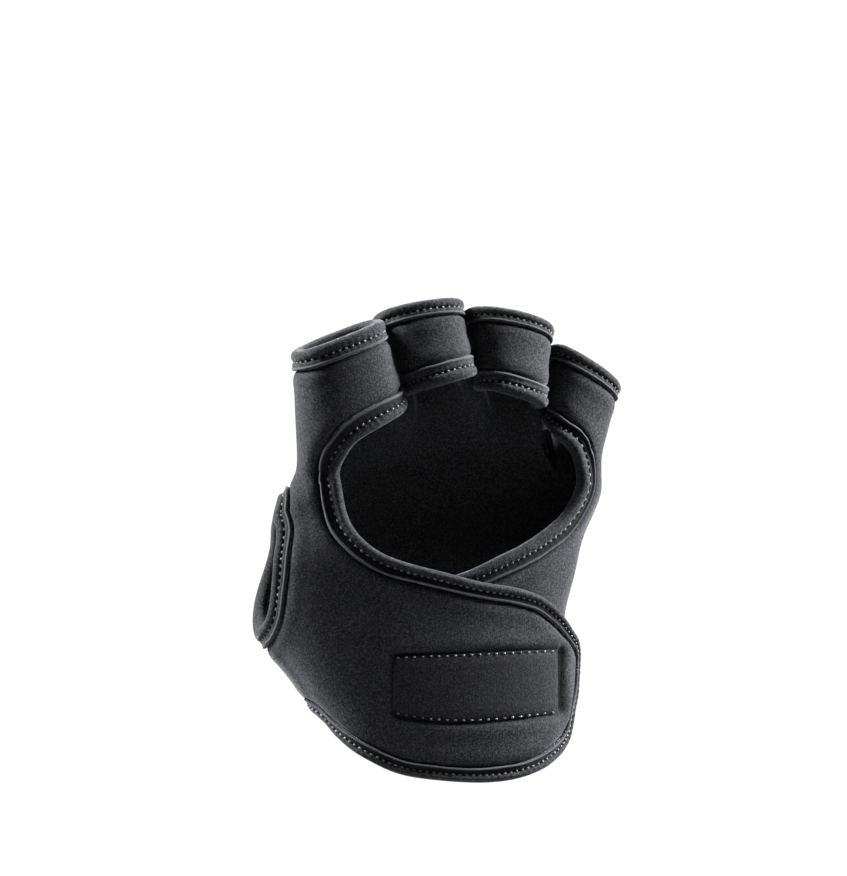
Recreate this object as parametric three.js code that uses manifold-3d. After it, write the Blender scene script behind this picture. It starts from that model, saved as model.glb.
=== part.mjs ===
// Neoprene training glove for a right hand, open on the back, closed by a wrist flap.
// Millimetres. +Z runs from the wrist to the fingers, -Y is the back of the hand, -X the thumb side.
// The origin is the middle of the wrist opening. Nothing fills the glove: it keeps the form of the hand that wore it.
//
// Every piece of cloth is cut flat and laid on one form. The form is a function of an angle round the hand and a
// level up the hand: below the knuckles it is a stack of hand sections, above them it is four finger tubes.
import * as THREE from 'three';
import { mergeVertices } from 'three/addons/utils/BufferGeometryUtils.js';
import Module from 'manifold-3d';

const wasm = await Module();
wasm.setup();

// ---------------------------------------------------------------- driving sizes
const SHEET = 2.8; // neoprene with its two knit faces
const PROUD = 0.6; // how far an edge binding stands over the neoprene, each side
const GAP = 0.3; // between pieces
const FLAP_LIFT = 4.4; // the outer wrist flap lies this far outside the inner one
const TURN = 13; // the hand is turned this much round +Z, thumb side towards the front
const KNUCKLE = 97; // level where the finger tubes start to show in the form
const LOOP_LOW = 118; // level of a finger loop's lower edge
const LOOP_TOP = 144; // level of a finger loop's upper edge
const SQUARE = 0.14; // how much fuller than an ellipse a section is at its corners

// Sections of the hand form, outside of the cloth.
const SECTIONS = [
  // level, thumb-side x, outer-side x, y at those two, half depth to the back, to the palm
  { z: -6, xl: -35.5, xr: 35.2, yl: -4, yr: 3, back: 22.0, palm: 21 },
  { z: 8, xl: -35.5, xr: 35.4, yl: -4, yr: 4, back: 21.8, palm: 21 },
  { z: 20, xl: -39.3, xr: 36.8, yl: -4, yr: 5, back: 21.5, palm: 22 },
  { z: 31, xl: -46.8, xr: 37.8, yl: -3, yr: 6, back: 21.2, palm: 24 },
  { z: 41, xl: -54.7, xr: 38.2, yl: -1, yr: 7, back: 21.0, palm: 25 },
  { z: 50, xl: -59.0, xr: 38.4, yl: 0, yr: 8, back: 20.6, palm: 25 },
  { z: 62, xl: -59.6, xr: 41.2, yl: -1, yr: 9, back: 20.2, palm: 23 },
  { z: 74, xl: -56.4, xr: 44.2, yl: -4, yr: 10, back: 20.0, palm: 20 },
  { z: 84, xl: -50.4, xr: 48.7, yl: -7, yr: 11.5, back: 19.6, palm: 17 },
  { z: 92, xl: -45.4, xr: 50.4, yl: -9, yr: 12, back: 19.2, palm: 15 },
  { z: 100, xl: -44.2, xr: 50.2, yl: -9, yr: 12, back: 18.6, palm: 14 },
  { z: 118, xl: -44.6, xr: 53.0, yl: -9, yr: 13, back: 17.6, palm: 13 },
];
// Soft pads and hollows of the hand form: angle and level of the middle, their spreads, height.
const PADS = [
  { name: 'thumb_base', a: -142, z: 52, da: 24, dz: 20, h: 5.0 },
  { name: 'heel', a: -218, z: 40, da: 26, dz: 22, h: 3.0 },
  { name: 'palm_hollow', a: -184, z: 72, da: 22, dz: 20, h: -3.5 },
  { name: 'wrist_crease', a: -180, z: 14, da: 60, dz: 9, h: -1.0 },
];
// Finger tubes: left and right end of the lower and the upper edge as seen from the back, depth of the middle,
// half depth, how much higher the near side of the edge stands than the ends, and the width of its binding.
const FINGERS = {
  index: {
    low: { xl: -44.2, zl: 104.0, xr: -10.6, zr: 114.4, y: -12.0, b: 12.4, arch: 0, w: 6.4 },
    top: { xl: -44.9, zl: 130.8, xr: -18.4, zr: 140.8, y: -11.4, b: 11.0, arch: -0.5, w: 6.4 },
  },
  middle: {
    low: { xl: -10.6, zl: 116.9, xr: 10.2, zr: 122.8, y: -3.2, b: 12.2, arch: 1.4, w: 6.6 },
    top: { xl: -20.8, zl: 141.8, xr: 6.0, zr: 146.0, y: 2.2, b: 11.0, arch: 2.7, w: 5.5 },
  },
  ring: {
    low: { xl: 11.2, zl: 118.4, xr: 31.8, zr: 113.2, y: 4.0, b: 12.0, arch: 1.0, w: 6.4 },
    top: { xl: 6.4, zl: 143.2, xr: 34.4, zr: 137.6, y: 9.6, b: 11.0, arch: 3.4, w: 4.8 },
  },
  little: {
    low: { xl: 31.0, zl: 108.6, xr: 50.6, zr: 103.0, y: 13.2, b: 11.0, arch: 0.6, w: 6.4 },
    top: { xl: 34.0, zl: 133.2, xr: 55.4, zr: 120.2, y: 17.4, b: 10.0, arch: 1.8, w: 5.2 },
  },
};
// Which angle round the hand leads to which place on which finger tube (0 back, -90 thumb side, -180 palm).
const COLUMNS = [
  { a: -20.0, finger: 'index', phi: 103 },
  { a: -46.0, finger: 'index', phi: 0 },
  { a: -90.0, finger: 'index', phi: -90 },
  { a: -134.0, finger: 'index', phi: -180 },
  { a: -158.0, finger: 'index', phi: -250 },
  { a: -160.0, finger: 'middle', phi: -110 },
  { a: -174.0, finger: 'middle', phi: -180 },
  { a: -188.0, finger: 'middle', phi: -250 },
  { a: -190.0, finger: 'ring', phi: -110 },
  { a: -204.0, finger: 'ring', phi: -180 },
  { a: -219.0, finger: 'ring', phi: -250 },
  { a: -221.0, finger: 'little', phi: -110 },
  { a: -238.0, finger: 'little', phi: -180 },
  { a: -272.0, finger: 'little', phi: -270 },
  { a: -302.0, finger: 'little', phi: -360 },
  { a: -322.0, finger: 'little', phi: -463 },
];
// Edges of the main panel as seen from the back (x, z), w the width of the binding there.
// A point that the outline of the hand hides is given by its angle a instead of x.
const OPENING_EDGE = [
  { a: -20.4, level: 118.0, w: 6.2 }, // between index and middle finger
  { x: -11.8, z: 111.4, w: 6.6 },
  { x: -18.8, z: 106.8, w: 7.2 },
  { x: -25.6, z: 102.4, w: 7.2 },
  { x: -29.4, z: 97.0, w: 7.0 },
  { x: -30.3, z: 90.0, w: 6.9 },
  { x: -28.6, z: 81.8, w: 6.8 },
  { x: -24.8, z: 75.2, w: 6.4 },
  { x: -18.0, z: 69.8, w: 6.0 },
  { x: -10.6, z: 66.8, w: 5.6 },
  { x: 0.8, z: 63.7, w: 5.2 },
  { x: 12.6, z: 60.6, w: 5.0 },
  { x: 22.4, z: 58.9, w: 5.0 },
  { x: 31.0, z: 56.0, w: 4.8 },
  { x: 37.2, z: 50.5, w: 4.8 },
  { x: 40.4, z: 45.6, w: 4.7 },
  { a: 80.8, z: 42.0, w: 4.6 },
  { a: 86.4, z: 37.4, w: 4.6 },
  { a: 86.8, z: 33.0, w: 4.6 }, // middle of the flap's end
];
const HEM_EDGE = [
  { a: 86.8, z: 33.0, w: 4.6 },
  { a: 86.9, z: 27.0, w: 4.6 },
  { a: 81.4, z: 19.6, w: 4.6 },
  { x: 39.2, z: 12.0, w: 4.6 },
  { x: 34.0, z: 5.2, w: 4.6 },
  { x: 26.1, z: 1.6, w: 4.6 },
  { x: 15.0, z: 0.0, w: 4.5 },
  { x: -1.0, z: 0.8, w: 4.4 },
  { x: -13.0, z: 2.8, w: 4.4 },
  { x: -23.6, z: 7.5, w: 4.4 },
  { x: -32.6, z: 14.2, w: 4.4 },
  { a: -72, z: 19.0, w: 4.4 },
  { a: -95, z: 20.6, w: 4.4 },
  { a: -125, z: 20.0, w: 4.4 },
  { a: -160, z: 15.0, w: 4.4 },
  { a: -200, z: 11.0, w: 4.4 },
  { a: -240, z: 8.6, w: 4.4 },
  { a: -280, z: 7.6, w: 4.4 },
  { a: -320, z: 7.0, w: 4.4 },
  { a: -352, z: 8.0, w: 4.4 },
  { a: -367, z: 12.0, w: 4.4 },
  { a: -372, z: 18.0, w: 4.4 },
  { a: -373, z: 24.0, w: 4.6 },
  { a: -373, z: 30.0, w: 4.6 }, // middle of the inner flap's end
];
const OUTER_SIDE_EDGE = [
  { a: -373, z: 30.0, w: 4.6 },
  { a: -373, z: 36.0, w: 4.6 },
  { a: -372, z: 43.0, w: 4.8 },
  { a: -367, z: 52.0, w: 5.0 },
  { a: -357, z: 58.6, w: 5.4 },
  { under: 10.0, z: 64.5, w: 5.8 },
  { under: 17.9, z: 68.2, w: 6.0 },
  { under: 28.8, z: 73.6, w: 6.2 },
  { under: 37.7, z: 80.0, w: 6.4 },
  { under: 42.3, z: 87.0, w: 6.6 },
  { under: 43.0, z: 94.0, w: 6.6 },
  { under: 40.2, z: 100.6, w: 6.6 },
  { under: 34.8, z: 104.6, w: 6.4 },
  { a: -319.2, level: 118.0, w: 6.0 }, // between ring and little finger
];
const THUMB_HOLE = [
  { a: -79, z: 83.5 },
  { a: -71, z: 80.2 },
  { x: -50.3, z: 75.0 },
  { x: -50.9, z: 68.6 },
  { x: -51.5, z: 61.0 },
  { x: -52.6, z: 52.0 },
  { a: -73, z: 46.0 },
  { a: -90, z: 45.0 },
  { a: -106, z: 51.0 },
  { a: -117, z: 61.0 },
  { a: -119, z: 69.8 },
  { a: -112, z: 76.4 },
  { a: -101, z: 82.2 },
  { a: -90, z: 84.5 },
];
const THUMB_BIND = 6.0;
// Hook patch that closes the flap: it lies between the two flaps.
const HOOK = { a0: 4, a1: 54, z0: 20, z1: 39, thick: 0.8 };
// Label patch on the flap: the x and z of its corners as seen from the back.
const LABEL = { xl: -13.6, xr: 35.6, zl: 20.9, zh: 38.4, thick: 0.9 };
// The sheet is slit between neighbouring finger tubes, down to this level.
const SLIT_LEVEL = 124;
const BAND_END = 90; // a separate finger band reaches this angle round its finger, both ways

// ---------------------------------------------------------------- small maths
const rad = (d) => (d * Math.PI) / 180;
const smooth = (lo, hi, v) => {
  const t = Math.min(1, Math.max(0, (v - lo) / (hi - lo)));
  return t * t * (3 - 2 * t);
};
// Natural cubic spline through a table's rows.
function spline(xs, ys) {
  const n = xs.length;
  const m = new Array(n).fill(0);
  const c = new Array(n).fill(0);
  const d = new Array(n).fill(0);
  for (let i = 1; i < n - 1; i++) {
    const h0 = xs[i] - xs[i - 1];
    const h1 = xs[i + 1] - xs[i];
    const r = 6 * ((ys[i + 1] - ys[i]) / h1 - (ys[i] - ys[i - 1]) / h0);
    const p = 2 * (h0 + h1) - h0 * c[i - 1];
    c[i] = h1 / p;
    d[i] = (r - h0 * d[i - 1]) / p;
  }
  for (let i = n - 2; i > 0; i--) m[i] = d[i] - c[i] * m[i + 1];
  return (x) => {
    let i = 0;
    while (i < n - 2 && x > xs[i + 1]) i++;
    const h = xs[i + 1] - xs[i];
    const u = (x - xs[i]) / h;
    const v = 1 - u;
    if (u < 0) return ys[0] + (x - xs[0]) * ((ys[1] - ys[0]) / h - (h * m[1]) / 6);
    if (u > 1) return ys[n - 1] + (x - xs[n - 1]) * ((ys[n - 1] - ys[n - 2]) / h + (h * m[n - 2]) / 6);
    return v * ys[i] + u * ys[i + 1] + (h * h * ((v * v * v - v) * m[i] + (u * u * u - u) * m[i + 1])) / 6;
  };
}
const column = {};
for (const key of ['xl', 'xr', 'yl', 'yr', 'back', 'palm'])
  column[key] = spline(SECTIONS.map((s) => s.z), SECTIONS.map((s) => s[key]));

// ---------------------------------------------------------------- the form
// The hand below the knuckles.
function handPoint(a, z) {
  const zc = Math.min(z, 124);
  const s = Math.sin(rad(a));
  const c = Math.cos(rad(a));
  const sx = s * (1 + SQUARE * c * c);
  const cy = c * (1 + SQUARE * s * s);
  const xl = column.xl(zc);
  const xr = column.xr(zc);
  const yl = column.yl(zc);
  const yr = column.yr(zc);
  let y = ((yr - yl) / 2) * s + ((yr + yl) / 2) * s * s - (c > 0 ? column.back(zc) : column.palm(zc)) * cy;
  for (const p of PADS) {
    const e = ((a - p.a) / p.da) ** 2 + ((zc - p.z) / p.dz) ** 2;
    y += p.h * Math.exp(-e);
  }
  return new THREE.Vector3((xl + xr) / 2 + ((xr - xl) / 2) * sx, y, z);
}
// A finger tube at an angle phi and a share t of its height.
function tubePoint(finger, phi, t) {
  const { low, top } = FINGERS[finger];
  const mix = (key) => low[key] + (top[key] - low[key]) * t;
  const s = Math.sin(rad(phi));
  const c = Math.cos(rad(phi));
  const sx = s * (1 + SQUARE * c * c);
  const cy = c * (1 + SQUARE * s * s);
  const half = (mix('xr') - mix('xl')) / 2;
  const st = Math.sin(rad(TURN));
  const ct = Math.cos(rad(TURN));
  return new THREE.Vector3(
    (mix('xl') + mix('xr')) / 2 + half * sx * ct + mix('b') * cy * st,
    mix('y') + half * sx * st - mix('b') * cy * ct,
    (mix('zl') + mix('zr')) / 2 + ((mix('zr') - mix('zl')) / 2) * sx + mix('arch') * c,
  );
}
function fingerPoint(a, t) {
  const at = Math.min(COLUMNS[0].a + 12, Math.max(COLUMNS[COLUMNS.length - 1].a - 12, a));
  let i = 0;
  while (i < COLUMNS.length - 2 && at < COLUMNS[i + 1].a) i++;
  const p = COLUMNS[i];
  const q = COLUMNS[i + 1];
  const u = (at - p.a) / (q.a - p.a);
  if (p.finger === q.finger) return tubePoint(p.finger, p.phi + (q.phi - p.phi) * u, t);
  return tubePoint(p.finger, p.phi, t).lerp(tubePoint(q.finger, q.phi, t), u);
}
// The outside of the main panel: angle a from the outer flap's end (+95) round to the inner flap's end (-373).
function form(a, z) {
  // a level runs along the knuckle line, so it drops towards the little finger
  const drop = z > 60 ? (fingerPoint(a, 0).z - LOOP_LOW) * smooth(60, 118, z) : 0;
  const hand = handPoint(a, z + drop);
  const lift = FLAP_LIFT * smooth(-66, -30, a) * (1 - smooth(64, 88, z));
  if (lift > 0) {
    const ahead = handPoint(a + 0.5, z + drop).sub(hand);
    hand.add(new THREE.Vector3(ahead.y, -ahead.x, 0).normalize().multiplyScalar(lift));
  }
  const w = smooth(KNUCKLE, LOOP_LOW + 3, z);
  if (w <= 0) return hand;
  return hand.lerp(fingerPoint(a, (z - LOOP_LOW) / (LOOP_TOP - LOOP_LOW)), w);
}
// Outward normal of a surface given as a function of two numbers.
function normalOf(surface, a, z) {
  const da = surface(a + 0.25, z).sub(surface(a - 0.25, z));
  const dz = surface(a, z + 0.25).sub(surface(a, z - 0.25));
  return da.cross(dz).normalize();
}

// ---------------------------------------------------------------- edges on the form
// The angle at which the back of the form shows a given x at a given z, on the outer (thumb) or inner layer.
function levelAt(a, z) {
  let lo = z - 20;
  let hi = z + 30;
  for (let k = 0; k < 22; k++) {
    const mid = (lo + hi) / 2;
    if (form(a, mid).z < z) lo = mid;
    else hi = mid;
  }
  return lo;
}
function findOnBack(x, z, from, to) {
  let last = null;
  for (let a = from; a >= to; a -= 1) {
    if (a > COLUMNS[0].a && z > 110) continue;
    const lo = levelAt(a, z);
    const off = form(a, lo).x - x;
    if (last && Math.sign(last.off) !== Math.sign(off)) {
      const u = last.off / (last.off - off);
      return { a: last.a + (a - last.a) * u, z: last.z + (lo - last.z) * u };
    }
    last = { a, z: lo, off };
  }
  throw new Error('no place on the back for x ' + x + ' z ' + z);
}
// The outer layer is looked for from the flap's end round to the thumb, the one under it from the little finger on.
function place(p) {
  if (p.level !== undefined) return { a: p.a, z: p.level, w: p.w };
  if (p.a !== undefined) return { a: p.a, z: levelAt(p.a, p.z), w: p.w };
  const under = p.under !== undefined;
  const x = under ? p.under : p.x;
  const at = under ? findOnBack(x, p.z, -266, -372) : findOnBack(x, p.z, p.z < 58 ? 89 : 60, -89);
  return { ...at, w: p.w };
}
// A smooth line through an edge's places, with n + 1 points, left short at its two ends by half a gap.
function edgeLine(points, n, closed = false) {
  const rows = points.map(place);
  const curve = new THREE.CatmullRomCurve3(
    rows.map((r) => new THREE.Vector3(r.a, r.z, (r.w || THUMB_BIND) * 4)),
    closed,
    'centripetal',
  );
  const short = closed ? 0 : (GAP * 0.6) / curve.getLength();
  const out = [];
  for (let i = 0; i <= n; i++) {
    const p = curve.getPointAt(short + ((1 - 2 * short) * i) / n);
    out.push({ a: p.x, z: p.y, w: p.z / 4 });
  }
  if (closed) out.pop();
  return out;
}
// Walks from a place on the surface, square to the edge's run, by a distance b on the cloth.
function inward(surface, at, run, side, b) {
  let { a, z } = at;
  const steps = 3;
  for (let k = 0; k < steps; k++) {
    const e = 0.2;
    const da = surface(a + e, z).sub(surface(a - e, z)).divideScalar(2 * e);
    const dz = surface(a, z + e).sub(surface(a, z - e)).divideScalar(2 * e);
    const n = da.clone().cross(dz).normalize();
    const dir = n.clone().cross(run).multiplyScalar(side).normalize();
    const aa = da.dot(da);
    const zz = dz.dot(dz);
    const az = da.dot(dz);
    const pa = dir.dot(da);
    const pz = dir.dot(dz);
    const det = aa * zz - az * az;
    a += (((pa * zz - pz * az) / det) * b) / steps;
    z += (((pz * aa - pa * az) / det) * b) / steps;
  }
  return { a, z };
}
function runs(surface, line, closed) {
  const pts = line.map((p) => surface(p.a, p.z));
  return line.map((p, i) => {
    const j = closed ? (i + 1) % line.length : Math.min(i + 1, line.length - 1);
    const k = closed ? (i + line.length - 1) % line.length : Math.max(i - 1, 0);
    return pts[j].clone().sub(pts[k]).normalize();
  });
}

// ---------------------------------------------------------------- solids
function solid(position, index) {
  const g = new THREE.BufferGeometry();
  g.setAttribute('position', new THREE.Float32BufferAttribute(position, 3));
  g.setIndex(index);
  return g;
}
function toManifold(geometry) {
  const bare = geometry.clone();
  bare.deleteAttribute('normal');
  bare.deleteAttribute('uv');
  const merged = mergeVertices(bare, 1e-4);
  return new wasm.Manifold(
    new wasm.Mesh({
      numProp: 3,
      vertProperties: new Float32Array(merged.attributes.position.array),
      triVerts: new Uint32Array(merged.index.array),
    }),
  );
}
function toGeometry(manifold) {
  const m = manifold.getMesh();
  const p = [];
  for (let i = 0; i < m.numVert; i++)
    p.push(m.vertProperties[i * m.numProp], m.vertProperties[i * m.numProp + 1], m.vertProperties[i * m.numProp + 2]);
  return solid(p, Array.from(m.triVerts));
}
// A closed solid from rings of points that follow each other; the ends are capped unless the rings close.
function loft(rings, closed) {
  const n = rings[0].length;
  const m = rings.length;
  const p = [];
  const f = [];
  for (const ring of rings) for (const v of ring) p.push(v.x, v.y, v.z);
  for (let i = 0; i < (closed ? m : m - 1); i++)
    for (let j = 0; j < n; j++) {
      const a = i * n + j;
      const b = i * n + ((j + 1) % n);
      const c = ((i + 1) % m) * n + j;
      const d = ((i + 1) % m) * n + ((j + 1) % n);
      f.push(a, b, d, a, d, c);
    }
  if (!closed)
    for (let j = 1; j < n - 1; j++) {
      f.push(0, j + 1, j);
      const e = (m - 1) * n;
      f.push(e, e + j, e + j + 1);
    }
  const g = solid(p, f);
  if (volume(g) < 0) {
    const idx = g.index.array;
    for (let i = 0; i < idx.length; i += 3) [idx[i + 1], idx[i + 2]] = [idx[i + 2], idx[i + 1]];
  }
  return g;
}
function volume(g) {
  const p = g.attributes.position.array;
  const f = g.index.array;
  let v = 0;
  for (let i = 0; i < f.length; i += 3) {
    const [a, b, c] = [f[i] * 3, f[i + 1] * 3, f[i + 2] * 3];
    v +=
      p[a] * (p[b + 1] * p[c + 2] - p[b + 2] * p[c + 1]) -
      p[a + 1] * (p[b] * p[c + 2] - p[b + 2] * p[c]) +
      p[a + 2] * (p[b] * p[c + 1] - p[b + 1] * p[c]);
  }
  return v / 6;
}
// An edge binding: a rounded strip that holds the edge of the cloth from both sides.
// The profile runs from the cloth over the outside, round the edge and back inside.
const PROFILE = [
  { b: 1.0, h: 1.0 },
  { b: 0.55, h: 1.0 },
  { b: 0.14, h: 0.86 },
  { b: 0.0, h: 0.35 },
  { b: 0.0, h: -0.35 },
  { b: 0.14, h: -0.86 },
  { b: 0.55, h: -1.0 },
  { b: 1.0, h: -1.0 },
];
function binding(surface, line, side, closed, grow = 0) {
  const dirs = runs(surface, line, closed);
  const half = SHEET / 2 + PROUD + grow;
  const rings = line.map((p, i) =>
    PROFILE.map((q) => {
      const b = q.b * (p.w + 2 * grow) - grow;
      const at = inward(surface, p, dirs[i], side, b);
      const n = normalOf(surface, at.a, at.z);
      return surface(at.a, at.z).addScaledVector(n, -SHEET / 2 + q.h * half);
    }),
  );
  return loft(rings, closed);
}
// The cut line of the cloth behind a binding.
function cutLine(surface, line, side, closed) {
  const dirs = runs(surface, line, closed);
  return line.map((p, i) => inward(surface, p, dirs[i], side, p.w + GAP * 1.4));
}
// A piece of cloth: a flat pattern cut from a grid and laid on the form.
const ANGLE_MM = 0.8; // one degree is drawn this wide in the flat pattern
function cloth(surface, angles, levels, outline, holes, thick) {
  const bow = (u, v) => 0.004 * (u * u * 0.01 + v * v * 0.02); // keeps the grid's corners while the pattern is cut
  const p = [];
  const f = [];
  const nu = angles.length;
  const nv = levels.length;
  for (const w of [0, 1])
    for (const a of angles) for (const z of levels) p.push(a * ANGLE_MM, z, w * 4 + bow(a * ANGLE_MM, z));
  const id = (w, i, j) => w * nu * nv + i * nv + j;
  for (let i = 0; i < nu - 1; i++)
    for (let j = 0; j < nv - 1; j++) {
      f.push(id(1, i, j), id(1, i + 1, j), id(1, i + 1, j + 1), id(1, i, j), id(1, i + 1, j + 1), id(1, i, j + 1));
      f.push(id(0, i, j), id(0, i + 1, j + 1), id(0, i + 1, j), id(0, i, j), id(0, i, j + 1), id(0, i + 1, j + 1));
    }
  for (let i = 0; i < nu - 1; i++) {
    f.push(id(0, i, 0), id(0, i + 1, 0), id(1, i + 1, 0), id(0, i, 0), id(1, i + 1, 0), id(1, i, 0));
    const t = nv - 1;
    f.push(id(0, i + 1, t), id(0, i, t), id(1, i, t), id(0, i + 1, t), id(1, i, t), id(1, i + 1, t));
  }
  for (let j = 0; j < nv - 1; j++) {
    f.push(id(0, 0, j + 1), id(0, 0, j), id(1, 0, j), id(0, 0, j + 1), id(1, 0, j), id(1, 0, j + 1));
    const t = nu - 1;
    f.push(id(0, t, j), id(0, t, j + 1), id(1, t, j + 1), id(0, t, j), id(1, t, j + 1), id(1, t, j));
  }
  let piece = toManifold(solid(p, f));
  const prism = (line) => {
    const shape = new THREE.Shape(line.map((q) => new THREE.Vector2(q.a * ANGLE_MM, q.z)));
    const g = new THREE.ExtrudeGeometry(shape, { depth: 4000, bevelEnabled: false });
    g.translate(0, 0, -2000);
    return toManifold(g);
  };
  if (outline) piece = piece.intersect(prism(outline));
  for (const hole of holes) piece = piece.subtract(prism(hole));
  const g = toGeometry(piece);
  const q = g.attributes.position.array;
  for (let i = 0; i < q.length; i += 3) {
    const a = q[i] / ANGLE_MM;
    const z = q[i + 1];
    const w = (q[i + 2] - bow(q[i], z)) / 4;
    const v = surface(a, z).addScaledVector(normalOf(surface, a, z), -thick * (1 - w));
    q[i] = v.x;
    q[i + 1] = v.y;
    q[i + 2] = v.z;
  }
  return g;
}
const range = (from, to, n) => Array.from({ length: n + 1 }, (_, i) => from + ((to - from) * i) / n);

// ---------------------------------------------------------------- pieces
const OPENING_SIDE = -1; // the cloth lies to this side of an edge's run
const opening = edgeLine(OPENING_EDGE, 52);
const hem = edgeLine(HEM_EDGE, 62);
const outerSide = edgeLine(OUTER_SIDE_EDGE, 40);
const thumbHole = edgeLine(THUMB_HOLE, 46, true);
const startAngle = COLUMNS[0].a;
const endAngle = COLUMNS[COLUMNS.length - 1].a;
const tube = (finger) => (phi, level) => tubePoint(finger, phi, (level - LOOP_LOW) / (LOOP_TOP - LOOP_LOW));

// The sheet's top edge under the finger bindings, one stretch for each finger, slit between them.
const EASE = 0.5; // degrees that a slit's edges stand back from the turn into the next finger
const topEdge = [];
for (const finger of ['little', 'ring', 'middle', 'index']) {
  const at = COLUMNS.filter((c) => c.finger === finger).reverse();
  const stops = at.flatMap((c, i) => (i ? range(at[i - 1].a, c.a, 5).slice(1) : [c.a]));
  const turns = at.flatMap((c, i) => (i ? range(at[i - 1].phi, c.phi, 5).slice(1) : [c.phi]));
  const line = turns.map((phi) => ({ a: phi, z: LOOP_TOP, w: FINGERS[finger].top.w }));
  const levels = cutLine(tube(finger), line, -1, false).map((p) => p.z);
  if (topEdge.length) {
    topEdge[topEdge.length - 1].a -= EASE;
    stops[0] += EASE;
    const last = topEdge[topEdge.length - 1].a;
    const mid = (last + stops[0]) / 2;
    topEdge.push({ a: last, z: SLIT_LEVEL + 1.5 }, { a: mid, z: SLIT_LEVEL }, { a: stops[0], z: SLIT_LEVEL + 1.5 });
  }
  topEdge.push(...levels.map((z, k) => ({ a: stops[k], z })));
}
const cutOpening = cutLine(form, opening, OPENING_SIDE, false);
const cutHem = cutLine(form, hem, OPENING_SIDE, false);
const cutOuter = cutLine(form, outerSide, OPENING_SIDE, false);
cutOpening.unshift({ a: startAngle, z: cutOpening[0].z + 0.8 });
cutOuter.push({ a: endAngle, z: cutOuter[cutOuter.length - 1].z + 0.8 });
const outline = [...cutOpening, ...cutHem.slice(1), ...cutOuter.slice(1), ...topEdge];

const steps = (...stops) => {
  const out = [stops[0]];
  for (let i = 1; i < stops.length; i += 2) out.push(...range(out[out.length - 1], stops[i + 1], stops[i]).slice(1));
  return out;
};
const columnsFine = steps(
  -384, 9, -322, 4, -302, 4, -272, 4, -238, 3, -221, 1, -219, 6, -190, 1, -188, 6, -160, 1, -158, 4, -134, 5, -90, 5, -46, 4, -20, 17, 108,
);
const levelsFine = steps(-8, 20, 94, 8, 122, 4, 144);
const thumbCut = cutLine(form, thumbHole.map((p) => ({ ...p, w: p.w + GAP })), 1, true);

const group = new THREE.Group();
const neoprene = { color: 0x232428, roughness: 0.72, metalness: 0 };
const tape = { color: 0x1b1c1f, roughness: 0.62, metalness: 0 };
const patch = { color: 0x2a2b2f, roughness: 0.5, metalness: 0 };
const add = (name, geometry, look) => {
  geometry.computeVertexNormals();
  const mesh = new THREE.Mesh(geometry, new THREE.MeshStandardMaterial(look));
  mesh.name = name;
  group.add(mesh);
};
add('main_panel', cloth(form, columnsFine, levelsFine, outline, [thumbCut], SHEET), neoprene);
add('opening_binding', binding(form, opening, OPENING_SIDE, false), tape);
add('hem_binding', binding(form, hem, OPENING_SIDE, false), tape);
add('outer_side_binding', binding(form, outerSide, OPENING_SIDE, false), tape);
add('thumb_hole_binding', binding(form, thumbHole, 1, true), tape);

// Finger loops: a closed binding round each upper edge, and a band of cloth over the two middle fingers.
for (const finger of Object.keys(FINGERS)) {
  const ring = range(0, 360, 26).slice(0, -1).map((phi) => ({ a: phi, z: LOOP_TOP, w: FINGERS[finger].top.w }));
  add(finger + '_upper_binding', binding(tube(finger), ring, -1, true), tape);
}
for (const finger of ['middle', 'ring']) {
  const surface = tube(finger);
  const ends = range(-BAND_END, BAND_END, 16);
  const { low: lowEdge, top: highEdge } = FINGERS[finger];
  const lower = ends.map((phi) => ({ a: phi * 0.95, z: LOOP_LOW, w: lowEdge.w }));
  const upper = ends.map((phi) => ({ a: phi, z: LOOP_TOP, w: highEdge.w }));
  const low = cutLine(surface, lower, 1, false).map((p, k) => ({ a: ends[k], z: p.z }));
  const high = cutLine(surface, upper, -1, false).map((p, k) => ({ a: ends[k], z: p.z }));
  add(
    finger + '_band',
    cloth(surface, range(-110, 110, 20), steps(114, 6, 148), [...low, ...high.reverse()], [], SHEET),
    neoprene,
  );
  add(finger + '_lower_binding', binding(surface, lower, 1, false), tape);
}

// Label patch on the outer flap and hook patch under it.
const raised = (surface, h) => (a, z) => surface(a, z).addScaledVector(normalOf(surface, a, z), h);
const corner = (x, z) => findOnBack(x, z, 89, -89).a;
const label = [
  { a: corner(LABEL.xl + 0.8, LABEL.zh), z: LABEL.zh },
  { a: corner(LABEL.xl - 0.8, LABEL.zl), z: LABEL.zl },
  { a: corner(LABEL.xr, LABEL.zl), z: LABEL.zl },
  { a: corner(LABEL.xr, LABEL.zh), z: LABEL.zh },
];
add('label_patch', cloth(raised(form, GAP + LABEL.thick), range(-30, 80, 22), [12, 18, 24, 30, 36, 42], label, [], LABEL.thick), patch);
const inner = (a, z) => form(a - 360, z);
const hook = [
  { a: HOOK.a0, z: HOOK.z0 },
  { a: HOOK.a1, z: HOOK.z0 },
  { a: HOOK.a1, z: HOOK.z1 },
  { a: HOOK.a0, z: HOOK.z1 },
];
add('hook_patch', cloth(raised(inner, 0.4 + HOOK.thick), range(-10, 70, 16), [10, 17, 24, 31, 38, 45], hook, [], HOOK.thick), patch);

export default group;
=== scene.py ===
import json
import math

import bpy
import numpy as np
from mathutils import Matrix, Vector, geometry


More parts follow.
